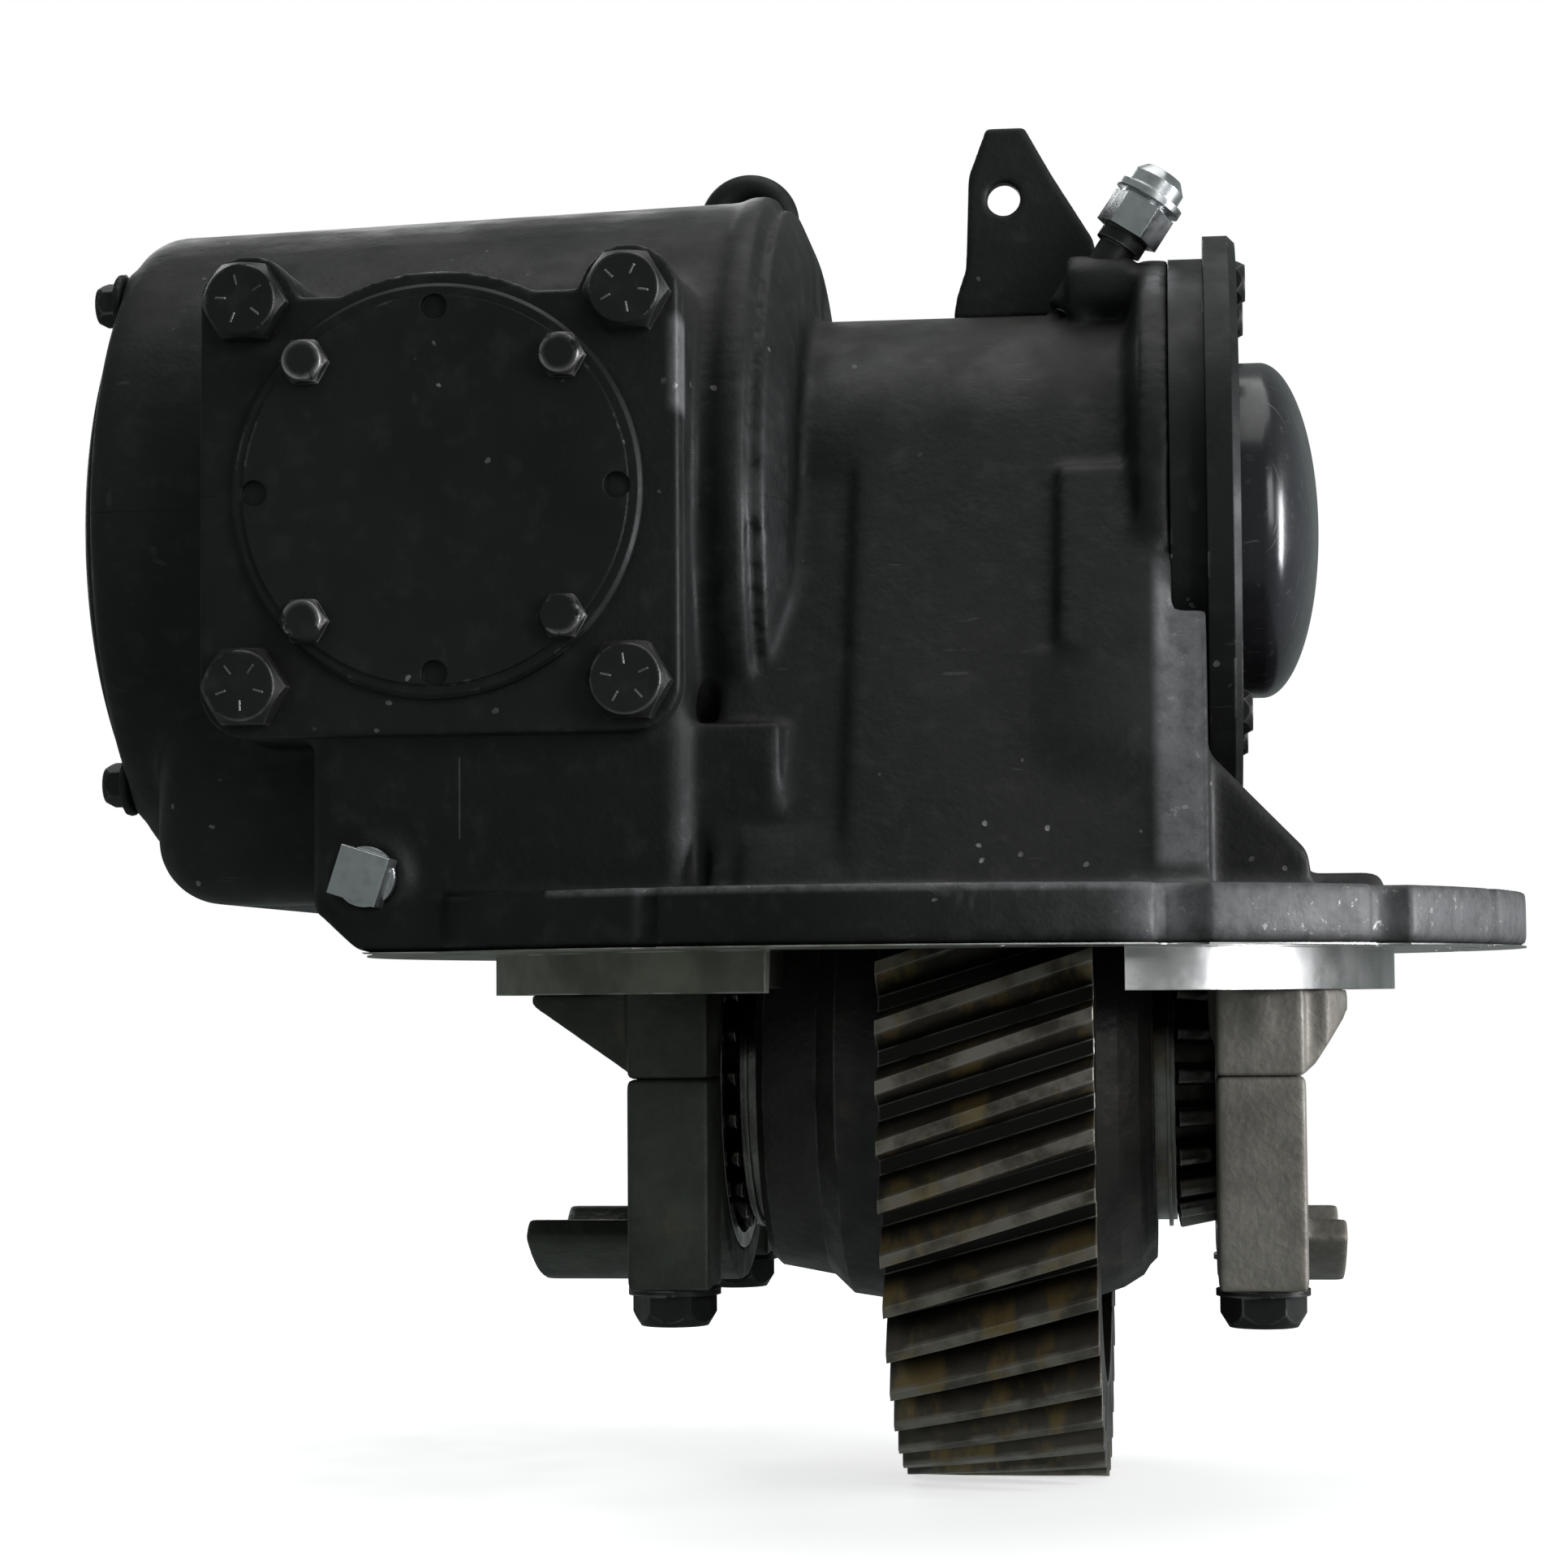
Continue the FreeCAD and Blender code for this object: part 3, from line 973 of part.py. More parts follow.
def input_stage():
    """Bevel pinion shaft, its cage and bearings, seal, companion flange and nut."""
    def on_input(y):
        return ("input_x", y, "shaft_z")

    apex = (size("input_x"), 0, size("shaft_z"))
    ring_teeth, bevel_teeth = round(size("ring_teeth")), round(size("bevel_teeth"))
    gear = bevel_gear(bevel_teeth, ring_teeth, size("bevel_module"), size("bevel_face"),
                      size("bevel_back"), 2.0, None, 0.0)
    head_end = size("cage_start_y") + size("head_width")
    shaft = [
        Part.makeCylinder(size("head_seat_r"), head_end - size("bevel_back"),
                          Vector(0, 0, size("bevel_back"))),
        Part.makeCylinder(size("tail_seat_r"), size("nut_start_y") - head_end, Vector(0, 0, head_end)),
        Part.makeCylinder(size("thread_r"), size("input_end_y") - size("nut_start_y"),
                          Vector(0, 0, size("nut_start_y"))),
    ]
    whole = gear.fuse(shaft).removeSplitter()
    spin = Rotation(Vector(1, 0, 0), -90)
    keep(feature("bevel_pinion_feature", whole, apex, spin), "bevel_pinion")

    length = "cage_end_y - cage_start_y"
    to_flange = "far_face_y - cage_start_y"
    body = turned("pinion_cage_turned", [
        ("head_cup_r", "0"), ("cage_bore_r", "0"), ("cage_bore_r", to_flange),
        ("far_boss_r", to_flange), ("far_boss_r", f"{to_flange} + cage_flange_t"),
        ("cage_nose_r", f"{to_flange} + cage_flange_t"), ("cage_nose_r - 6", length),
        ("seal_r", length), ("seal_r", "seal_y - cage_start_y"), ("tail_cup_r", "seal_y - cage_start_y"),
        ("tail_cup_r", "tail_start_y - cage_start_y"), ("cage_way_r", "tail_start_y - cage_start_y"),
        ("cage_way_r", "head_width"), ("head_cup_r", "head_width"),
    ], on_input("cage_start_y"), "Y")
    holes = [cylinder(f"pinion_cage_hole_{n}", "small_shank_r + 0.5", "cage_flange_t + 2", point, "Y")
             for n, point in enumerate(cage_bolt_points("far_face_y - 1"))]
    keep(cut("pinion_cage_cut", body, holes), "pinion_cage")
    bolts = [bolt(f"pinion_cage_bolt_{n}", point, "Y", "small", "cage_flange_t + 22")
             for n, point in enumerate(cage_bolt_points("far_face_y + cage_flange_t"))]
    keep(group("pinion_cage_bolt_ring", bolts), "pinion_cage_bolts")

    keep(turned("head_cup", [("head_cup_r - 7", "0"), ("head_cup_r", "0"), ("head_cup_r", "head_width"),
                             ("head_cup_r - 12", "head_width")], on_input("cage_start_y"), "Y"),
         "head_bearing_cup")
    tapered_cone("head_bearing_cone", "head_race", "head_seat_r", "head_cup_r - 12", "head_cup_r - 7",
                 "head_width", on_input("cage_start_y"), "Y")
    keep(turned("tail_cup", [("tail_cup_r - 11", "0"), ("tail_cup_r", "0"), ("tail_cup_r", "tail_width"),
                             ("tail_cup_r - 6", "tail_width")], on_input("tail_start_y"), "Y"),
         "tail_bearing_cup")
    tapered_cone("tail_bearing_cone", "tail_race", "tail_seat_r", "tail_cup_r - 6", "tail_cup_r - 11",
                 "tail_width", on_input("tail_start_y"), "Y")
    keep(turned("seal", [("sleeve_r + running", "0"), ("seal_r", "0"), ("seal_r", "10"),
                         ("sleeve_r + running", "10")], on_input("seal_y"), "Y"), "oil_seal")
    yoke = turned("yoke_turned", [
        ("tail_seat_r", "0"), ("sleeve_r", "0"), ("sleeve_r", "cage_end_y + 4 - sleeve_start_y"),
        ("sleeve_r + 10", "cage_end_y + 8 - sleeve_start_y"),
        ("sleeve_r + 12", "yoke_face_y - yoke_t - sleeve_start_y"),
        ("yoke_r", "yoke_face_y - yoke_t - sleeve_start_y"), ("yoke_r", "yoke_face_y - sleeve_start_y"),
        ("yoke_pilot_r", "yoke_face_y - sleeve_start_y"), ("yoke_pilot_r", "nut_start_y - sleeve_start_y"),
        ("tail_seat_r", "nut_start_y - sleeve_start_y"),
    ], on_input("sleeve_start_y"), "Y")
    yoke_holes = [cylinder(f"yoke_hole_{n}", "yoke_hole_r", "yoke_t + 2", point, "Y")
                  for n, point in enumerate(ring_points("Y", 8, "yoke_bolt_ring_r",
                                                        on_input("yoke_face_y - yoke_t - 1"), 22.5))]
    keep(cut("yoke", yoke, yoke_holes), "companion_flange")
    nut = prism("nut_hexagon", 6, "55", "input_end_y - nut_start_y - 3", on_input("nut_start_y"), "Y")
    core = cylinder("nut_bore", "thread_r", "40", on_input("nut_start_y - 1"), "Y")
    keep(cut("nut", nut, [core]), "pinion_nut")


def check_document():
    """Every object recomputed without error, every sub-part one or more valid solids."""
    doc.recompute()
    for thing in doc.Objects:
        if "Invalid" in thing.State or "Error" in thing.State:
            raise RuntimeError(f"{thing.Name}: {thing.State}")
    for thing in subparts:
        shape = thing.Shape
        if shape.isNull() or not shape.isValid() or not shape.Solids or shape.Volume <= 0:
            raise RuntimeError(f"{thing.Label}: bad shape")


housing()
drum_cover()
right_end()
square_cover()
fittings()
differential_supports()
input_stage()
cross_shaft()
differential()
differential_bevels()
check_document()
os.makedirs("parts", exist_ok=True)
for thing in subparts:
    thing.Shape.exportStep(f"parts/{thing.Label}.step")
print(f"{len(subparts)} sub-parts written")
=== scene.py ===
import json
import math

import bmesh
import bpy
from mathutils import Matrix, Vector


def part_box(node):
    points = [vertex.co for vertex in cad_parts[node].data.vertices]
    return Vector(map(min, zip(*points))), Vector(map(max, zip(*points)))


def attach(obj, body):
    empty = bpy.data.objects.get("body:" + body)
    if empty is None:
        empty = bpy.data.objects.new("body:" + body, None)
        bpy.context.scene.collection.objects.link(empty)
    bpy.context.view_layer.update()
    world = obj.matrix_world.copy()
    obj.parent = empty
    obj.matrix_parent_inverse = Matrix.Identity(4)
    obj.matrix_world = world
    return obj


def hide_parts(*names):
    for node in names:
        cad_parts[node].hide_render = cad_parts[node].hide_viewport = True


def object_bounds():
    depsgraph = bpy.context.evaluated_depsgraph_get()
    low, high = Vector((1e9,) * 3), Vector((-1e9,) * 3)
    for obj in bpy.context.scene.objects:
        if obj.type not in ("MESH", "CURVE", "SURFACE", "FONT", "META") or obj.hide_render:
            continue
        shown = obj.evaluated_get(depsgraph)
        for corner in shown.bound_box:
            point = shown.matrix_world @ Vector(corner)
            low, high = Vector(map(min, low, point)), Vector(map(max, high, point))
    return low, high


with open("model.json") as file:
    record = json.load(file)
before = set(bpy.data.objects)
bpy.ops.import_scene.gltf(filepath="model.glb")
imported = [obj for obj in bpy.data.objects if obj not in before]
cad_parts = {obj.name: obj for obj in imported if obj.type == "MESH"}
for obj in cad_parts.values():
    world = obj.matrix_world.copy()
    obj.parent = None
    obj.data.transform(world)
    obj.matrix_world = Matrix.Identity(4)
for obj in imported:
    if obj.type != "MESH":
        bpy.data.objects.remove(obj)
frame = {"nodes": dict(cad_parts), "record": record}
cad_box = [list(corner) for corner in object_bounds()]
scene = bpy.context.scene
nodes = frame["nodes"]
slot_of = {sub["node"]: sub["material_slot"] for sub in frame["record"]["subparts"]}
body_of = {node: body for body, names in frame["record"]["behaviour"]["bodies"].items() for node in names}

# Camera fitted to the reference view, metres and radians.
CAM_PLACE = Vector((0.10422, -1.45003, -0.01791))
CAM_YAW, CAM_PITCH, CAM_ROLL = 0.11662, 0.06116, -0.00776
CAM_LENS = 80.33

# Points nearer than this are one, and points this near to an end face lie on it.
WELD, ON_FACE = 0.000005, 0.0001

# Cast parts: grid step of the rebuilt surface, smoothing passes and the share of faces kept.
HOUSING = (0.0022, 7, 0.4)
CAST = {
    "left_pedestal": (0.0016, 8, 0.4),
    "right_pedestal": (0.0016, 8, 0.4),
    "left_bearing_cap": (0.0016, 7, 0.4),
    "right_bearing_cap": (0.0016, 7, 0.4),
    "left_drum_cover": (0.0016, 4, 0.4),
    "square_cover": (0.0014, 5, 0.4),
    "top_bracket": (0.0012, 5, 0.4),
}
# Level at which the machined pilot ends and the rough casting begins.
SEAT_CUT = 0.0006
# Box in which the foot of the barrel's front pad runs out into the barrel, and its smoothing passes.
PAD_FOOT, BLEND_PASSES = ((0.045, -0.2, 0.052), (0.1, -0.1, 0.115)), 90
# Web at the foot of the neck between the drum and the block.
NECK_WEB = ((-0.088, -0.147, 0.012), (-0.05, -0.1, 0.086))

# Tapered bearing: number of rollers, then as shares a roller's radius of the ring's wall, the two ribs'
# widths of the ring's width and a rib's height of the roller's radius, then the cage's wall and half width.
ROLLERS, ROLLER_SHARE, RIB_SHARES, RIB_RISE = 22, 0.32, (0.14, 0.26), 0.9
CAGE_WALL, CAGE_HALF = 0.0016, 0.0008

SPLINE_TEETH, SPLINE_DEPTH = 28, 0.0022
SPLINE_INSET, SPLINE_OVERRUN = 0.0004, 0.002

# Strokes on a bolt head: how many, (length, height, width), distance from the middle, depth of the
# stroke's middle under the face, and edge round.
DASHES, DASH_SIZE, DASH_RING = 5, (0.0042, 0.0005, 0.0009), 0.0075
DASH_DEPTH, DASH_ROUND = 0.0001, 0.00015

# Floor disc, world light, and lamps as name: (place, target, size, watts, colour).
FLOOR_RADIUS, FLOOR_SIDES = 1.7, 120
BACKDROP, AROUND = ((1, 1, 1, 1), 1.0), ((0.9, 1, 0.99, 1), 0.22)
LAMPS = {
    "key": ((1.9, -0.25, 0.15), (0.15, 0, 0.02), (0.45, 0.9), 34, (0.96, 0.97, 1)),
    "front": ((1.3, -1.5, 0.6), (0, 0, 0.05), (0.8, 1.0), 10, (1, 1, 1)),
    "top": ((0.1, -0.1, 1.9), (0, 0, 0), (1.6, 1.6), 13, (1, 1, 1)),
    "back": ((-0.9, 1.8, 1.0), (0, 0, 0.1), (1.2, 1.2), 16, (1, 1, 1)),
}

# Tones of the paint, of its dust, which also paints the tops lighter as top light, and of a parting line.
PAINT_DARK = (0.005, 0.0062, 0.0062)
BOLT_DARK, BOLT_LIGHT = (0.006, 0.0068, 0.0068), (0.016, 0.016, 0.0155)
DUST_AND_TOP_LIGHT, SEAM_BLACK = (0.05, 0.046, 0.043), (0.0012, 0.0012, 0.0012)
# Depth of the bull gear's teeth, over which painted shade darkens the roots.
GEAR_TOOTH = 0.0145


# ---------------------------------------------------------------- mesh work

def new_piece(name, mesh, like=None):
    """Object for a mesh in the row frame; with a node, it rides that node's body."""
    piece = bpy.data.objects.new(name, mesh)
    scene.collection.objects.link(piece)
    if like:
        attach(piece, body_of[like])
    return piece


def row_mesh(node, name):
    """Welded copy of a node's mesh with its points in the row frame and no stored normals."""
    work = bmesh.new()
    work.from_mesh(nodes[node].data)
    bmesh.ops.remove_doubles(work, verts=work.verts[:], dist=WELD)
    work.verts.index_update()
    mesh = bpy.data.meshes.new(name)
    mesh.from_pydata([v.co[:] for v in work.verts], [], [[v.index for v in f.verts] for f in work.faces])
    work.free()
    return mesh


def modified(mesh, *steps):
    """Mesh after a chain of modifiers, each given as (kind, {setting: value})."""
    helper = bpy.data.objects.new("helper", mesh)
    scene.collection.objects.link(helper)
    for kind, settings in steps:
        step = helper.modifiers.new(kind.lower(), kind)
        for key, value in settings.items():
            setattr(step, key, value)
    evaluated = helper.evaluated_get(bpy.context.evaluated_depsgraph_get())
    result = bpy.data.meshes.new_from_object(evaluated)
    result.name = mesh.name
    bpy.data.objects.remove(helper)
    return result


def cast_surface(mesh, step, passes, kept, blended=()):
    """Rebuild a sharp mesh as a cast one: every edge and corner takes a small natural round.

    Inside each blended box, (low, high), steps are smoothed out into the surface around them.
    """
    low = [min(v.co[axis] for v in mesh.vertices) for axis in range(3)]
    high = [max(v.co[axis] for v in mesh.vertices) for axis in range(3)]
    rough = modified(
        mesh,
        ("REMESH", {"mode": "VOXEL", "voxel_size": step, "adaptivity": 0.0}),
        ("SMOOTH", {"factor": 0.5, "iterations": passes}),
    )
    work = bmesh.new()
    work.from_mesh(rough)
    for near, far in blended:
        chosen = [v for v in work.verts if all(near[k] < v.co[k] < far[k] for k in range(3))]
        for _ in range(BLEND_PASSES):
            bmesh.ops.smooth_vert(work, verts=chosen, factor=0.5, use_axis_x=True, use_axis_y=True,
                                  use_axis_z=True)
    work.to_mesh(rough)
    work.free()
    rough = modified(rough, ("DECIMATE", {"ratio": kept}))
    for vertex in rough.vertices:
        vertex.co = [min(max(value, low[axis]), high[axis]) for axis, value in enumerate(vertex.co)]
    rough.shade_smooth()
    return rough


def with_box(mesh, low, high):
    """Mesh with a box run into it, to be melted in by the rebuild."""
    work = bmesh.new()
    work.from_mesh(mesh)
    middle, size = (Vector(low) + Vector(high)) / 2, Vector(high) - Vector(low)
    bmesh.ops.create_cube(work, size=1, matrix=Matrix.Translation(middle) @ Matrix.Diagonal((*size, 1)))
    joined = bpy.data.meshes.new(mesh.name)
    work.to_mesh(joined)
    work.free()
    return joined


def sliced(mesh, height, keep_above):
    """Closed part of a mesh above or below a level plane."""
    work = bmesh.new()
    work.from_mesh(mesh)
    result = bmesh.ops.bisect_plane(
        work, geom=work.verts[:] + work.edges[:] + work.faces[:], plane_co=(0, 0, height),
        plane_no=(0, 0, 1), clear_inner=keep_above, clear_outer=not keep_above)
    rim = [item for item in result["geom_cut"] if isinstance(item, bmesh.types.BMEdge)]
    bmesh.ops.triangle_fill(work, edges=rim, use_beauty=True, use_dissolve=False)
    bmesh.ops.recalc_face_normals(work, faces=work.faces[:])
    part = bpy.data.meshes.new(mesh.name)
    work.to_mesh(part)
    work.free()
    return part


def revolve(work, corners, place, steps=72):
    """Add a ring to a bmesh: a closed outline of (radius, height) turned about local Z."""
    rings = []
    for step in range(steps):
        angle = 2 * math.pi * step / steps
        rings.append([work.verts.new(place @ Vector((r * math.cos(angle), r * math.sin(angle), h)))
                      for r, h in corners])
    for step, ring in enumerate(rings):
        after = rings[(step + 1) % steps]
        for index in range(len(corners)):
            onward = (index + 1) % len(corners)
            work.faces.new((ring[index], after[index], after[onward], ring[onward]))


def finish_mesh(work, name, sharp_degrees=35):
    """Mesh from a bmesh, smooth but for its sharp edges."""
    bmesh.ops.recalc_face_normals(work, faces=work.faces[:])
    mesh = bpy.data.meshes.new(name)
    work.to_mesh(mesh)
    work.free()
    mesh.shade_smooth()
    mesh.set_sharp_from_angle(angle=math.radians(sharp_degrees))
    return mesh


def ring_facts(node, axis):
    """Centre, ends and radii of a tapered ring node whose axis is a row axis."""
    mesh = row_mesh(node, node + "_facts")
    others = [k for k in range(3) if k != axis]
    low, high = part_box(node)
    centre = (Vector(low) + Vector(high)) / 2
    ends = []
    for end in (low[axis], high[axis]):
        radii = [math.dist([v.co[k] for k in others], [centre[k] for k in others])
                 for v in mesh.vertices if abs(v.co[axis] - end) < ON_FACE]
        ends.append((end, min(radii), max(radii)))
    bpy.data.meshes.remove(mesh)
    return centre, ends


def roller_bearing(node, axis):
    """Inner race with ribs, tapered rollers and a pressed cage, in place of the plain tapered ring."""
    centre, ends = ring_facts(node, axis)
    if ends[0][2] > ends[1][2]:
        ends.reverse()
    (start, bore, small), (end, _, large) = ends
    place = centre.copy()
    place[axis] = start
    ahead = Vector([0, 0, 0])
    ahead[axis] = 1 if end > start else -1
    turn = Matrix.Translation(place) @ ahead.to_track_quat("Z", "Y").to_matrix().to_4x4()
    width = abs(end - start)
    thick = ROLLER_SHARE * (small - bore)
    lean = math.atan2(large - small, width)
    inset, shoulder = (share * width for share in RIB_SHARES)
    race_small, race_large = small - 2 * thick, large - 2 * thick
    rib, undercut = RIB_RISE * thick, 0.12 * (large - small)
    work = bmesh.new()
    revolve(work, [
        (bore, 0), (race_small + rib, 0), (race_small + rib, inset), (race_small + undercut, inset),
        (race_large - undercut, width - shoulder), (race_large + rib, width - shoulder),
        (race_large + rib, width), (bore, width),
    ], turn)
    race_faces = len(work.faces)
    span = (inset + width - shoulder) / 2
    middle = small + (large - small) * span / width - thick
    half, edge = (width - inset - shoulder) / 2 * 0.97, 0.0006
    hollow, thin, fat = thick * 0.2, thick * 0.93, thick * 0.985
    for number in range(ROLLERS):
        angle = 2 * math.pi * number / ROLLERS
        seat = (Matrix.Rotation(angle, 4, "Z") @ Matrix.Translation((middle, 0, span))
                @ Matrix.Rotation(lean, 4, "Y"))
        revolve(work, [(hollow, -half), (thin - edge, -half), (thin, -half + edge),
                       (fat, half - edge), (fat - edge, half), (hollow, half)], turn @ seat, 16)
    for height, out in ((inset * 0.75, small), (width - shoulder * 0.7, large)):
        ring = out - thick * 0.55
        revolve(work, [(ring - CAGE_WALL, height - CAGE_HALF), (ring, height - CAGE_HALF),
                       (ring, height + CAGE_HALF), (ring - CAGE_WALL, height + CAGE_HALF)], turn)
    work.faces.ensure_lookup_table()
    for face in work.faces[race_faces:]:
        face.material_index = 1
    piece = new_piece(node + "_rollers", finish_mesh(work, node + "_rollers"), node)
    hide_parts(node)
    dress(piece, "bearing_steel")
    # Rollers and cages take a steel darkened far below its own tone, as painted shade.
    piece.data.materials.append(finishes["shaded_roller_steel"])


def splined_gear(node):
    """Side gear with a splined bore in place of the plain one."""
    low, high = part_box(node)
    centre = (Vector(low) + Vector(high)) / 2
    mesh = row_mesh(node, node + "_splined")
    bore = min(math.hypot(v.co.y - centre.y, v.co.z - centre.z) for v in mesh.vertices)
    crest, root = bore - SPLINE_INSET, bore + SPLINE_DEPTH
    work = bmesh.new()
    rows = []
    for x in (low[0] - SPLINE_OVERRUN, high[0] + SPLINE_OVERRUN):
        row = []
        for tooth in range(SPLINE_TEETH):
            for share, radius in ((0.0, crest), (0.42, crest), (0.55, root), (0.87, root)):
                angle = 2 * math.pi * (tooth + share) / SPLINE_TEETH
                row.append(work.verts.new((x, centre.y + radius * math.cos(angle),
                                           centre.z + radius * math.sin(angle))))
        rows.append(row)
    for index in range(len(rows[0])):
        onward = (index + 1) % len(rows[0])
        work.faces.new((rows[0][index], rows[0][onward], rows[1][onward], rows[1][index]))
    for row in rows:
        work.faces.new(row)
    cutter = bpy.data.objects.new("cutter", finish_mesh(work, "cutter"))
    scene.collection.objects.link(cutter)
    bored = modified(mesh, ("BOOLEAN", {"object": cutter, "operation": "DIFFERENCE", "solver": "EXACT"}))
    bpy.data.objects.remove(cutter)
    bored.shade_smooth()
    bored.set_sharp_from_angle(angle=math.radians(30))
    piece = new_piece(node + "_splined", bored, node)
    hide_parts(node)
    return piece


def head_dashes(node, first):
    """Plain raised strokes round the face of a big bolt head."""
    low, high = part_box(node)
    centre = Vector(((low[0] + high[0]) / 2, low[1] + DASH_DEPTH, (low[2] + high[2]) / 2))
    work = bmesh.new()
    for number in range(DASHES):
        turn = Matrix.Rotation(first + 2 * math.pi * number / DASHES, 4, "Y")
        seat = Matrix.Translation(centre) @ turn @ Matrix.Translation((DASH_RING, 0, 0))
        made = bmesh.ops.create_cube(work, size=1, matrix=seat @ Matrix.Diagonal((*DASH_SIZE, 1)))
        edges = {edge for vertex in made["verts"] for edge in vertex.link_edges}
        bmesh.ops.bevel(work, geom=list(edges), offset=DASH_ROUND, segments=1, affect="EDGES")
    return new_piece(node + "_dashes", finish_mesh(work, node + "_dashes"), node)


# ---------------------------------------------------------------- materials

class Finish:
    """Short way to write one procedural material's nodes; coordinates are the object's own."""

    def __init__(self, name):
        self.material = bpy.data.materials.new(name)
        self.material.use_nodes = True
        self.tree = self.material.node_tree
        self.shader = self.tree.nodes["Principled BSDF"]
        self.place = self.make("ShaderNodeTexCoord").outputs["Object"]
        self.geometry = self.make("ShaderNodeNewGeometry")

    def make(self, kind, settings=(), **inputs):
        """Node with its properties set, and its inputs by name (_ for a space) or, as _3, by number."""
        node = self.tree.nodes.new(kind)
        for key, value in dict(settings).items():
            setattr(node, key, value)
        for key, value in inputs.items():
            self.give(node.inputs[int(key[1:]) if key[1:].isdigit() else key.replace("_", " ")], value)
        return node

    def give(self, socket, value):
        if isinstance(value, bpy.types.NodeSocket):
            self.tree.links.new(value, socket)
        else:
            socket.default_value = value

    def noise(self, scale, detail=4, roughness=0.55, stretch=(1, 1, 1)):
        spot = self.make("ShaderNodeMapping", Vector=self.place, Scale=stretch).outputs[0]
        return self.make("ShaderNodeTexNoise", Vector=spot, Scale=scale, Detail=detail,
                         Roughness=roughness).outputs["Fac"]

    def cells(self, scale, wobble=0.0):
        """Distance to the nearest of scattered points, bent out of round by wobble."""
        spot = self.place
        if wobble:
            bent = self.make("ShaderNodeTexNoise", Vector=self.place, Scale=scale * 2,
                             Detail=2).outputs["Color"]
            spot = self.make("ShaderNodeMix", {"data_type": "VECTOR"}, _0=wobble, _4=self.place,
                             _5=bent).outputs[1]
        return self.make("ShaderNodeTexVoronoi", Vector=spot, Scale=scale).outputs["Distance"]

    def ramp(self, value, low, high, start=0.0, end=1.0):
        """Smooth step from start at low to end at high."""
        return self.make("ShaderNodeMapRange", {"interpolation_type": "SMOOTHSTEP"}, Value=value,
                         _1=low, _2=high, _3=start, _4=end).outputs[0]

    def maths(self, operation, first, second=0.0):
        return self.make("ShaderNodeMath", {"operation": operation, "use_clamp": operation != "SUBTRACT"},
                         _0=first, _1=second).outputs[0]

    def times(self, *values):
        result = values[0]
        for value in values[1:]:
            result = self.maths("MULTIPLY", result, value)
        return result

    def most(self, first, second):
        return self.maths("MAXIMUM", first, second)

    def colour(self, share, first, second):
        first = (*first, 1) if isinstance(first, tuple) else first
        second = (*second, 1) if isinstance(second, tuple) else second
        return self.make("ShaderNodeMix", {"data_type": "RGBA"}, _0=share, _6=first, _7=second).outputs[2]

    def blend(self, share, first, second):
        return self.make("ShaderNodeMix", {"data_type": "FLOAT"}, _0=share, _2=first, _3=second).outputs[0]

    def axis(self, letter, source=None):
        return self.make("ShaderNodeSeparateXYZ", Vector=source or self.place).outputs[letter]

    def facing_up(self):
        return self.ramp(self.axis("Z", self.geometry.outputs["Normal"]), 0.25, 0.95)

    def edges(self, width):
        """1 along sharp edges, 0 on flat faces."""
        soft = self.make("ShaderNodeBevel", {"samples": 4}, Radius=width).outputs[0]
        align = self.make("ShaderNodeVectorMath", {"operation": "DOT_PRODUCT"}, _0=soft,
                          _1=self.geometry.outputs["Normal"]).outputs["Value"]
        return self.ramp(align, 0.985, 0.86)

    def inside(self, low, high, soft=0.004):
        """1 inside a box of the row frame, fading over a short way at its sides."""
        share = None
        for letter, near, far in zip("XYZ", low, high):
            along = self.axis(letter)
            band = self.times(self.ramp(along, near - soft, near + soft),
                              self.ramp(along, far + soft, far - soft))
            share = band if share is None else self.times(share, band)
        return share

    def from_axis(self, y, z):
        """Distance from a line along X."""
        flat = self.make("ShaderNodeVectorMath", {"operation": "MULTIPLY_ADD"}, _0=self.place, _1=(0, 1, 1),
                         _2=(0, -y, -z)).outputs[0]
        return self.make("ShaderNodeVectorMath", {"operation": "LENGTH"}, _0=flat).outputs["Value"]

    def bump(self, *layers, rounded=0.0):
        """Stack of (height, strength, distance) relief layers over optionally rounded edges."""
        normal = None
        if rounded:
            normal = self.make("ShaderNodeBevel", {"samples": 4}, Radius=rounded).outputs[0]
        for height, strength, distance in layers:
            node = self.make("ShaderNodeBump", Height=height, Strength=strength, Distance=distance)
            if normal is not None:
                self.give(node.inputs["Normal"], normal)
            normal = node.outputs[0]
        self.give(self.shader.inputs["Normal"], normal)

    def done(self, colour, roughness, metallic=0.0, **constants):
        self.give(self.shader.inputs["Base Color"], colour)
        self.give(self.shader.inputs["Roughness"], roughness)
        self.give(self.shader.inputs["Metallic"], metallic)
        for key, value in constants.items():
            self.shader.inputs[key.replace("_", " ")].default_value = value
        return self.material


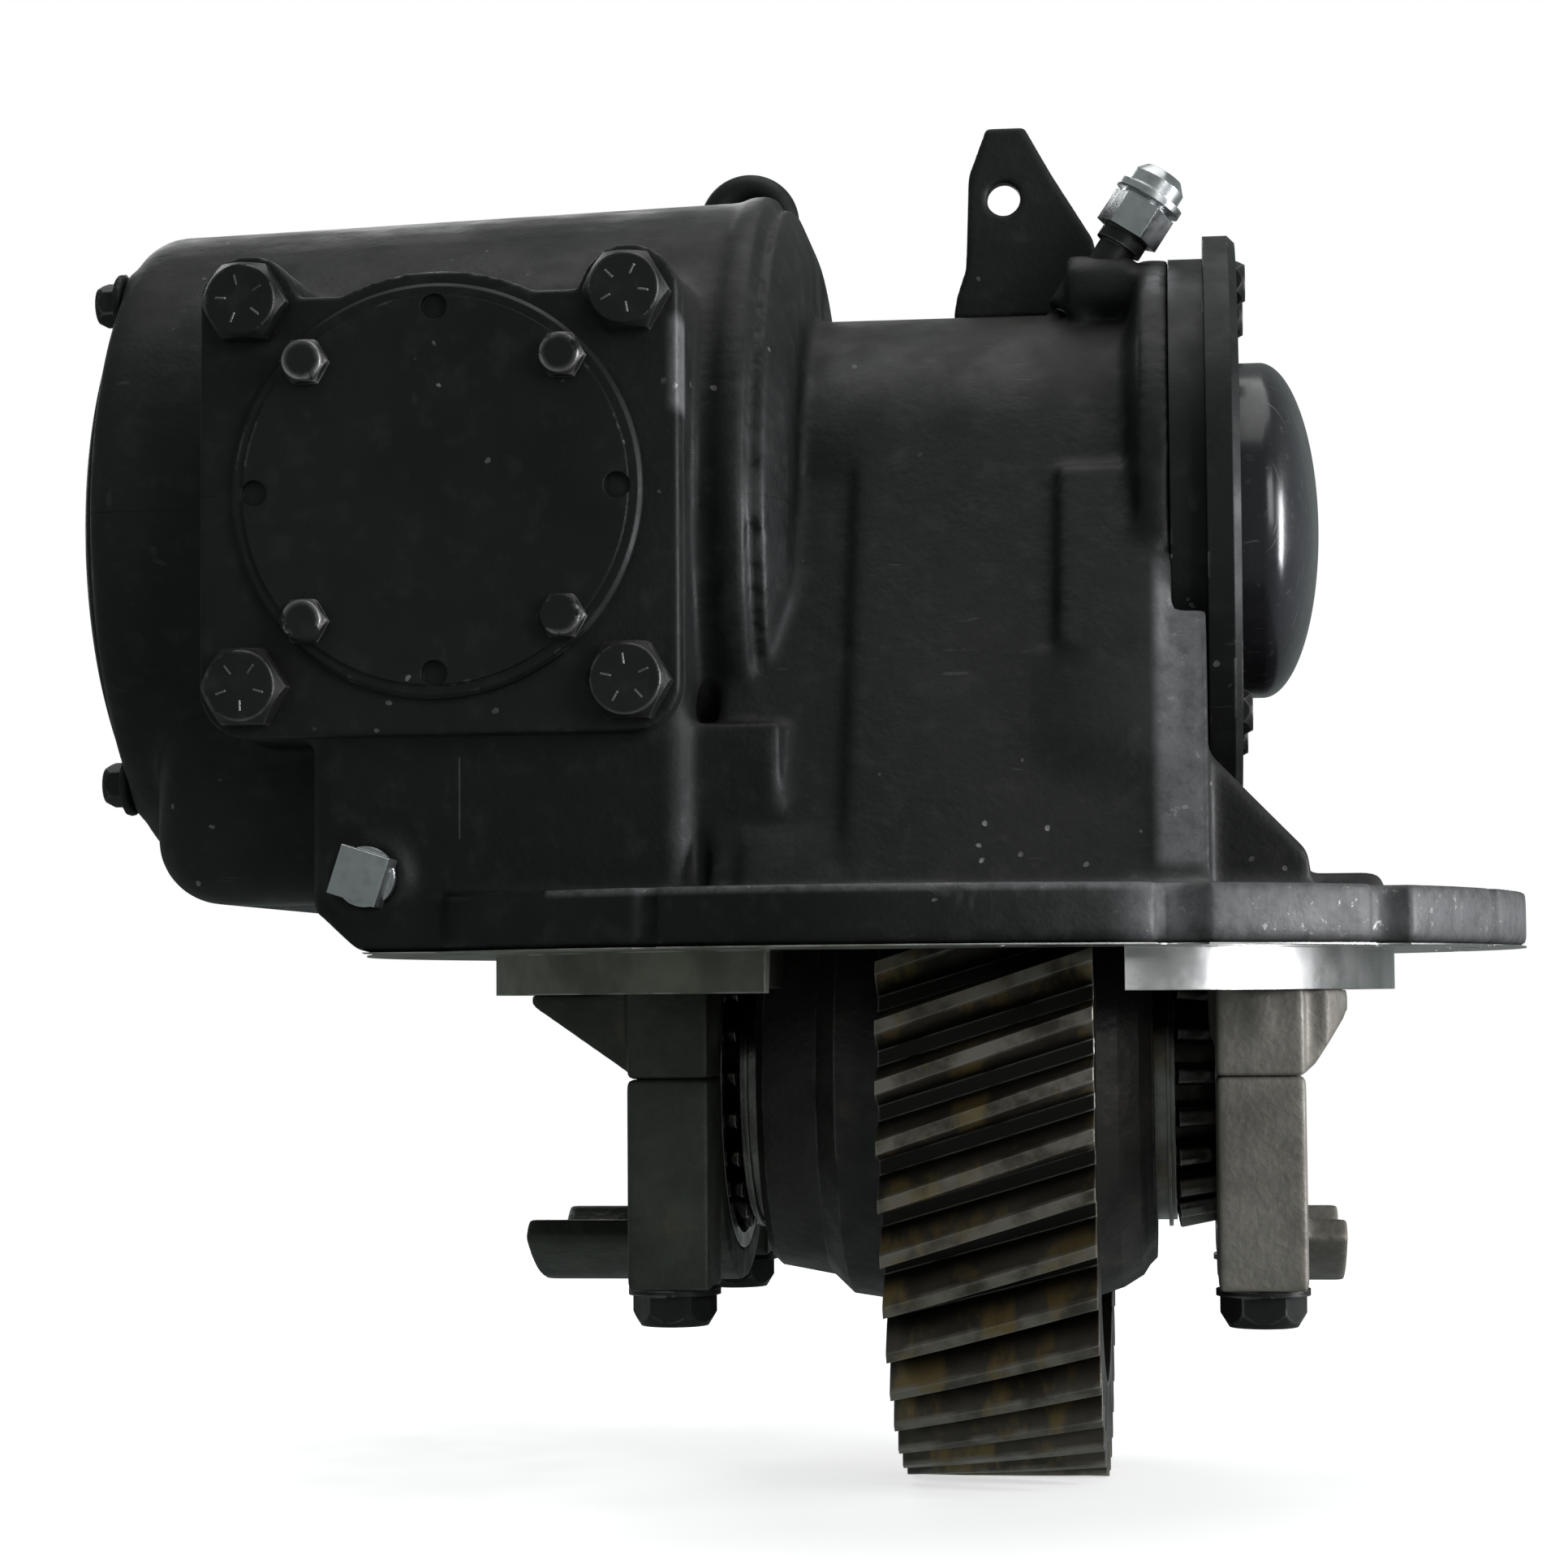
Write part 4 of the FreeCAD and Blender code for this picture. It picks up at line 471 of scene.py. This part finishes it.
def paint(name, dark, light, rough, wear, cast=True, zones=(), specks=True, bright=1.0, chip=0.0016,
          seams=()):
    """Black paint over iron: mottled, dusty and painted lighter above, chipped to metal at edges, spots,
    and worn zones that are partly painted light.

    A zone is (low, high, fade, amount) and a seam (low, high), boxes of the row frame.
    """
    f = Finish(name)
    broad, fine = f.noise(7, 5), f.noise(90, 4)
    tone = f.colour(f.ramp(broad, 0.35, 0.68), dark, light)
    tone = f.colour(f.times(f.ramp(fine, 0.5, 0.75), 0.5), tone, tuple(2.2 * value for value in light))
    # Dust on upward faces, which also paints the tops lighter as painted top light.
    dust = f.times(f.facing_up(), f.ramp(f.noise(22, 5, 0.65), 0.3, 0.75), 0.6)
    tone = f.colour(dust, tone, DUST_AND_TOP_LIGHT)
    scuff = f.times(f.ramp(f.noise(60, 2, 0.5, (1, 14, 0.6)), 0.66, 0.74),
                    f.ramp(f.noise(14, 2), 0.5, 0.66))
    tone = f.colour(f.times(scuff, 0.3), tone, (0.12, 0.12, 0.12))
    for low, high in seams:
        tone = f.colour(f.inside(low, high, 0.0003), tone, SEAM_BLACK)
    bare = f.times(f.edges(chip), f.ramp(f.noise(28, 5, 0.7), wear, wear + 0.05))
    if specks:
        dots = f.times(f.ramp(f.cells(75, 0.004), 0.1, 0.06), f.ramp(f.noise(16, 2), 0.52, 0.6))
        bare = f.most(bare, dots)
    # Zones: worn paint, and painted light, a lighter grey, where a zone lies on faces turned to the
    # right-hand lamp.
    for low, high, soft, amount in zones:
        rubbed = f.times(f.inside(low, high, soft),
                         f.ramp(f.noise(130, 6, 0.75), 0.3, 0.6, amount - 0.3, amount))
        tone = f.colour(rubbed, tone, (0.2, 0.198, 0.205))
        bare = f.most(bare, f.times(rubbed, f.ramp(f.noise(210, 4, 0.7), 0.6, 0.66)))
    metal_tone = f.colour(f.ramp(fine, 0.4, 0.65), tuple(bright * v for v in (0.17, 0.165, 0.16)),
                          tuple(bright * v for v in (0.36, 0.355, 0.35)))
    tone = f.colour(bare, tone, metal_tone)
    roughness = f.blend(bare, f.ramp(f.noise(35, 4), 0.3, 0.7, rough - 0.09, rough + 0.12), 0.4)
    layers = [(f.noise(620, 3), 0.18, 0.0004)]
    if cast:
        layers += [(f.noise(140, 4, 0.6), 0.28, 0.001), (f.cells(330), 0.1, 0.0005)]
    layers.append((f.maths("SUBTRACT", 1.0, bare), 0.35, 0.0003))
    f.bump(*layers, rounded=0.0 if cast else 0.0008)
    return f.done(tone, roughness, f.times(bare, 0.85), Specular_IOR_Level=0.32)


def metal(name, low_tone, high_tone, rough, edge_tone, film=None):
    """Bare steel or iron: fine tool marks, stains, brighter rubbed edges and an optional oil film."""
    f = Finish(name)
    tone = f.colour(f.ramp(f.noise(18, 6, 0.65), 0.32, 0.68), low_tone, high_tone)
    tone = f.colour(f.times(f.ramp(f.noise(170, 3), 0.52, 0.72), 0.35), tone,
                    tuple(0.45 * v for v in high_tone))
    if film:
        wet = f.ramp(f.noise(26, 4, 0.6), 0.5, 0.66)
        tone = f.colour(f.times(wet, 0.7), tone, film)
    rubbed = f.times(f.edges(0.0011), f.ramp(f.noise(60, 3), 0.35, 0.6))
    tone = f.colour(rubbed, tone, edge_tone)
    roughness = f.blend(rubbed, f.ramp(f.noise(48, 5), 0.3, 0.7, rough - 0.08, rough + 0.14), rough * 0.8)
    f.bump((f.noise(260, 3, 0.6), 0.16, 0.0003), (f.noise(520, 3), 0.1, 0.0003), rounded=0.0006)
    return f.done(tone, roughness, 1.0)


def gear_finish(name, radius, tooth, y, z, end):
    """Hobbed and oiled gear: painted shade in the roots, golden oil film with painted glints on the flanks,
    bright rubbed crests.

    Its axis runs along X through (y, z), and its rubbed edges are painted brighter near end, its outer
    face, as a painted highlight.
    """
    f = Finish(name)
    reach = f.from_axis(y, z)
    crest = f.ramp(reach, radius - 0.0022, radius - 0.0006)
    root = f.ramp(reach, radius - 0.9 * tooth, radius - 0.2 * tooth)
    tone = f.colour(f.ramp(f.noise(30, 5, 0.65), 0.32, 0.68), (0.06, 0.052, 0.04), (0.12, 0.105, 0.085))
    # Golden oil film on the flanks, partly painted glints standing in for highlights.
    oil_film_and_glint = f.times(f.ramp(f.noise(22, 4, 0.6, (2.5, 1, 1)), 0.5, 0.62), f.ramp(reach, 0.08, radius - 0.004))
    tone = f.colour(f.times(oil_film_and_glint, 0.65), tone, (0.3, 0.21, 0.075))
    # Painted shade: the tooth roots are darkened towards the root circle.
    tone = f.colour(root, (0.009, 0.008, 0.006), tone)
    tone = f.colour(f.times(crest, f.ramp(f.noise(70, 4), 0.35, 0.65)), tone, (0.26, 0.235, 0.2))
    # Painted highlight: rubbed edges grow brighter towards the outer face, where the light falls.
    lit_end_highlight = f.ramp(f.axis("X"), end - 0.004, end - 0.001)
    rubbed = f.times(f.edges(0.0012), f.ramp(f.noise(45, 3), 0.3, 0.5), f.blend(lit_end_highlight, 0.35, 1.0))
    tone = f.colour(rubbed, tone, (0.62, 0.58, 0.52))
    roughness = f.ramp(f.noise(40, 4), 0.3, 0.7, 0.24, 0.46)
    f.bump((f.noise(900, 2, 0.5, (0.06, 1, 1)), 0.14, 0.0002), (f.noise(380, 3), 0.08, 0.0003),
           rounded=0.0005)
    return f.done(tone, roughness, 0.6)


def machined_ring(name):
    """Turned cast iron of the pilot: fine turning lines, stains and painted shade darkening the -X side,
    bright nicked edges.
    """
    f = Finish(name)
    # Painted shade with stains: the ring turns darker, rougher and less metallic towards -X, away from the
    # right-hand lamp.
    stained_shaded_side = f.ramp(f.axis("X"), 0.05, -0.02)
    tone = f.colour(f.ramp(f.noise(20, 6, 0.65), 0.3, 0.7), (0.4, 0.395, 0.39), (0.55, 0.545, 0.54))
    stain_and_shade_tone = f.colour(f.ramp(f.noise(34, 5), 0.3, 0.7), (0.16, 0.162, 0.125), (0.3, 0.298, 0.24))
    tone = f.colour(stained_shaded_side, tone, stain_and_shade_tone)
    rubbed = f.times(f.edges(0.0012), f.ramp(f.noise(40, 4), 0.4, 0.6))
    tone = f.colour(rubbed, tone, (0.7, 0.7, 0.69))
    roughness = f.blend(stained_shaded_side, f.ramp(f.noise(30, 5), 0.3, 0.7, 0.2, 0.36), 0.55)
    f.bump((f.noise(300, 2, 0.5, (0.03, 0.03, 4)), 0.06, 0.0001), (f.noise(420, 3), 0.05, 0.0002),
           rounded=0.0006)
    return f.done(tone, roughness, f.blend(stained_shaded_side, 1.0, 0.55))


def cast_iron(name, low_tone, high_tone, rough):
    """Unpainted cast iron: open grain, stains and polished high spots."""
    f = Finish(name)
    tone = f.colour(f.ramp(f.noise(24, 6, 0.7), 0.3, 0.7), low_tone, high_tone)
    tone = f.colour(f.times(f.ramp(f.noise(9, 4), 0.52, 0.7), 0.6), tone, tuple(0.4 * v for v in low_tone))
    rust = f.times(f.ramp(f.noise(46, 5, 0.7), 0.56, 0.72), 0.35)
    tone = f.colour(rust, tone, (0.16, 0.105, 0.07))
    rubbed = f.times(f.edges(0.0016), f.ramp(f.noise(50, 4), 0.42, 0.6))
    tone = f.colour(rubbed, tone, (0.5, 0.49, 0.47))
    roughness = f.ramp(f.noise(55, 4), 0.3, 0.7, rough - 0.1, rough + 0.1)
    f.bump((f.noise(480, 3), 0.3, 0.0005), (f.cells(260), 0.22, 0.0007), (f.noise(120, 4), 0.25, 0.001))
    return f.done(tone, roughness, 0.35)


def gloss(name):
    """Glossy black pressed cap: faint orange peel, dust and hairline scratches under a clear coat."""
    f = Finish(name)
    tone = f.colour(f.ramp(f.noise(12, 4), 0.35, 0.65), (0.008, 0.008, 0.01), (0.018, 0.018, 0.022))
    dust = f.times(f.ramp(f.noise(210, 4, 0.7), 0.56, 0.72), 0.22)
    tone = f.colour(dust, tone, (0.13, 0.13, 0.14))
    hair = f.ramp(f.noise(70, 2, 0.5, (1, 18, 0.5)), 0.67, 0.72)
    tone = f.colour(f.times(hair, 0.3), tone, (0.2, 0.2, 0.21))
    chipped = f.times(f.edges(0.0012), f.ramp(f.noise(60, 4), 0.55, 0.6))
    tone = f.colour(chipped, tone, (0.4, 0.4, 0.4))
    roughness = f.maths("ADD", f.ramp(f.noise(40, 4), 0.3, 0.7, 0.2, 0.34), f.times(hair, 0.15))
    f.bump((f.noise(190, 2), 0.05, 0.0004), (f.noise(700, 2), 0.05, 0.0002), rounded=0.0006)
    return f.done(tone, roughness, f.times(chipped, 0.8), Coat_Weight=0.35, Coat_Roughness=0.16)


def rubber(name):
    """Dull black seal, a little dusty."""
    f = Finish(name)
    tone = f.colour(f.ramp(f.noise(60, 4), 0.35, 0.65), (0.012, 0.012, 0.012), (0.03, 0.029, 0.028))
    f.bump((f.noise(500, 3), 0.15, 0.0003), rounded=0.0005)
    return f.done(tone, f.ramp(f.noise(90, 3), 0.3, 0.7, 0.5, 0.7))


def floor_finish(name):
    """Pale matt floor, glowing a little."""
    f = Finish(name)
    tone = f.colour(f.ramp(f.noise(3, 4), 0.3, 0.7), (0.8, 0.8, 0.8), (0.86, 0.86, 0.86))
    f.bump((f.noise(150, 3), 0.05, 0.0005))
    f.give(f.shader.inputs["Emission Color"], tone)
    return f.done(tone, f.ramp(f.noise(20, 3), 0.3, 0.7, 0.7, 0.85), Emission_Strength=0.75)


# ---------------------------------------------------------------- camera, light and floor

def camera():
    """Scene camera at the reference view's place and angle."""
    ahead = Vector((-math.sin(CAM_YAW) * math.cos(CAM_PITCH), math.cos(CAM_YAW) * math.cos(CAM_PITCH),
                    math.sin(CAM_PITCH)))
    right = Vector((math.cos(CAM_YAW), math.sin(CAM_YAW), 0))
    up = right.cross(ahead)
    cosine, sine = math.cos(CAM_ROLL), math.sin(CAM_ROLL)
    right, up = right * cosine + up * sine, up * cosine - right * sine
    data = bpy.data.cameras.new("camera")
    data.lens = CAM_LENS
    data.sensor_width = 36
    data.clip_start = 0.01
    eye = bpy.data.objects.new("camera", data)
    turn = Matrix((right, up, -ahead)).transposed().to_4x4()
    eye.matrix_world = Matrix.Translation(CAM_PLACE) @ turn
    scene.collection.objects.link(eye)
    scene.camera = eye


def light(name, place, target, size, power, tint):
    """Area lamp at a place, turned to a target."""
    data = bpy.data.lights.new(name, "AREA")
    data.shape = "RECTANGLE"
    data.size, data.size_y = size
    data.energy = power
    data.color = tint
    lamp = bpy.data.objects.new(name, data)
    lamp.location = place
    lamp.rotation_euler = (Vector(target) - Vector(place)).to_track_quat("-Z", "Y").to_euler()
    scene.collection.objects.link(lamp)


def studio():
    """Pale floor under the lowest point, a white backdrop, soft light from all round and four lamps."""
    low = cad_box[0][2]
    angles = [math.radians(360 / FLOOR_SIDES * side) for side in range(FLOOR_SIDES)]
    rim = [(FLOOR_RADIUS * math.cos(angle), FLOOR_RADIUS * math.sin(angle), low) for angle in angles]
    mesh = bpy.data.meshes.new("floor")
    mesh.from_pydata(rim, [], [range(FLOOR_SIDES)])
    mesh.materials.append(floor_finish("floor"))
    floor = bpy.data.objects.new("floor", mesh)
    floor.visible_diffuse = floor.visible_glossy = False
    scene.collection.objects.link(floor)
    world = bpy.data.worlds.new("studio")
    scene.world = world
    world.use_nodes = True
    links, made = world.node_tree.links, world.node_tree.nodes
    backdrop = made["Background"]
    around = made.new("ShaderNodeBackground")
    seen = made.new("ShaderNodeLightPath").outputs["Is Camera Ray"]
    choice = made.new("ShaderNodeMixShader")
    for shade, (tint, strength) in ((backdrop, BACKDROP), (around, AROUND)):
        shade.inputs["Color"].default_value = tint
        shade.inputs["Strength"].default_value = strength
    links.new(seen, choice.inputs[0])
    links.new(around.outputs[0], choice.inputs[1])
    links.new(backdrop.outputs[0], choice.inputs[2])
    links.new(choice.outputs[0], made["World Output"].inputs["Surface"])
    for name, lamp in LAMPS.items():
        light(name, *lamp)


# ---------------------------------------------------------------- the object

camera()
scene.view_settings.view_transform = "Standard"

flange_low, flange_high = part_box("carrier_housing")
cover_low, cover_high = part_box("square_cover")
gear_low, gear_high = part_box("bull_gear")
plate_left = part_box("right_cover_plate")[0][0]
# Zones of worn paint, which also paint a lighter grey as painted light where they lie on faces turned to
# the right-hand lamp: the flange's rim on the right, its near upper edge, the narrow wall beside the right
# cover plate and the right edge of the square cover; and one real scratch on the block under that cover.
zones_worn_and_lit = [
    ((0.082, flange_low[1] - 0.01, 0.001), (flange_high[0] + 0.02, 0.0, 0.0225), 0.01, 0.72),
    ((-0.13, flange_low[1] - 0.01, 0.0195), (0.1, -0.185, 0.024), 0.0012, 0.5),
    ((plate_left - 0.02, -0.2, 0.03), (plate_left - 0.003, -0.09, 0.15), 0.003, 0.72),
    ((cover_high[0] - 0.003, cover_low[1] - 0.002, cover_high[2] - 0.063),
     (cover_high[0] + 0.002, cover_high[1] + 0.004, cover_high[2] - 0.028), 0.003, 0.9),
    ((-0.1712, -0.158, 0.043), (-0.1709, -0.15, 0.074), 0.0004, 0.8),
]
# Parting lines of the casting, at the height of the cross shaft.
shaft = (cover_low[2] + cover_high[2]) / 2
seams = [
    ((-0.34, -0.2, shaft), (-0.262, 0.2, shaft + 0.0004)),
    ((-0.068, -0.2, shaft), (-0.046, -0.05, shaft + 0.0004)),
]
gear_y, gear_z = (gear_low[1] + gear_high[1]) / 2, (gear_low[2] + gear_high[2]) / 2
gear_radius = (gear_high[2] - gear_low[2]) / 2

finishes = {
    "black_paint": paint("black_paint", PAINT_DARK, (0.0115, 0.012, 0.0118), 0.5, 0.58, False),
    "cast_paint": paint("cast_paint", PAINT_DARK, (0.0135, 0.0132, 0.013), 0.52, 0.58, True, zones_worn_and_lit,
                        seams=seams),
    "black_bolt": paint("black_bolt", BOLT_DARK, BOLT_LIGHT, 0.4, 0.44, False, specks=False),
    "chipped_bolt": paint("chipped_bolt", BOLT_DARK, BOLT_LIGHT, 0.4, 0.42, False, specks=False, bright=2.4,
                          chip=0.0034),
    "gloss_black": gloss("gloss_black"),
    "zinc_plate": metal("zinc_plate", (0.5, 0.52, 0.53), (0.72, 0.74, 0.75), 0.26, (0.85, 0.86, 0.87)),
    # The next two irons are lit and shaded copies of one casting: the paler tan one is painted light, the
    # darker greenish one painted shade.
    "bare_iron": cast_iron("bare_iron", (0.17, 0.157, 0.135), (0.3, 0.28, 0.25), 0.55),
    "shaded_left_iron": cast_iron("shaded_left_iron", (0.034, 0.04, 0.03), (0.07, 0.077, 0.062), 0.55),
    "dark_iron": cast_iron("dark_iron", (0.03, 0.029, 0.027), (0.065, 0.062, 0.057), 0.5),
    "gear_steel": metal("gear_steel", (0.09, 0.078, 0.062), (0.18, 0.16, 0.13), 0.34, (0.5, 0.47, 0.42),
                        (0.2, 0.13, 0.055)),
    "bull_gear": gear_finish("bull_gear", gear_radius, GEAR_TOOTH, gear_y, gear_z, gear_high[0]),
    "bearing_steel": metal("bearing_steel", (0.12, 0.117, 0.108), (0.26, 0.255, 0.24), 0.24,
                           (0.6, 0.59, 0.57), (0.15, 0.11, 0.06)),
    # Painted shade: rollers and cages darkened as the shade between pedestal and case.
    "shaded_roller_steel": metal("shaded_roller_steel", (0.012, 0.011, 0.009), (0.035, 0.033, 0.028), 0.34,
                          (0.06, 0.055, 0.05), (0.02, 0.015, 0.009)),
    "rubbed_mark": metal("rubbed_mark", (0.05, 0.05, 0.05), (0.3, 0.3, 0.3), 0.4, (0.4, 0.4, 0.4)),
    "machined_steel": metal("machined_steel", (0.25, 0.245, 0.24), (0.42, 0.415, 0.41), 0.32,
                            (0.65, 0.64, 0.63)),
    "pilot_iron": machined_ring("pilot_iron"),
    "seal_rubber": rubber("seal_rubber"),
}


def dress(piece, finish):
    """Give a piece one finish alone."""
    piece.data.materials.clear()
    piece.data.materials.append(finishes[finish])


for node, thing in nodes.items():
    dress(thing, slot_of[node])
dress(nodes["bull_gear"], "bull_gear")
dress(nodes["round_cover_bolts"], "chipped_bolt")

housing = row_mesh("carrier_housing", "carrier_casting")
upper = with_box(sliced(housing, SEAT_CUT, True), *NECK_WEB)
casting = new_piece("carrier_casting", cast_surface(upper, *HOUSING, [PAD_FOOT]), "carrier_housing")
seat = sliced(housing, SEAT_CUT, False)
seat.name = "pilot_and_seat"
seat.shade_smooth()
seat.set_sharp_from_angle(angle=math.radians(25))
pilot = new_piece("pilot_and_seat", seat, "carrier_housing")
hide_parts("carrier_housing")
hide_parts("carrier_housing")
dress(casting, "cast_paint")
dress(pilot, "pilot_iron")

# The left caps and pedestals take the dark greenish iron as painted shade, the right ones the paler tan
# iron as painted light.
cast_finish = {"left_bearing_cap": "shaded_left_iron", "left_pedestal": "shaded_left_iron",
               "right_bearing_cap": "bare_iron", "right_pedestal": "bare_iron"}
for node, how in CAST.items():
    piece = new_piece(node + "_cast", cast_surface(row_mesh(node, node + "_cast"), *how), node)
    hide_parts(node)
    dress(piece, cast_finish.get(node, "cast_paint"))

for node in ("left_differential_cone", "right_differential_cone", "left_cross_cone", "right_cross_cone"):
    roller_bearing(node, 0)
for node in ("head_bearing_cone", "tail_bearing_cone"):
    roller_bearing(node, 1)
for node in ("left_side_gear", "right_side_gear"):
    dress(splined_gear(node), "gear_steel")
for number in range(1, 5):
    dress(head_dashes(f"square_cover_bolt_{number}", 0.7 * number), "rubbed_mark")

studio()
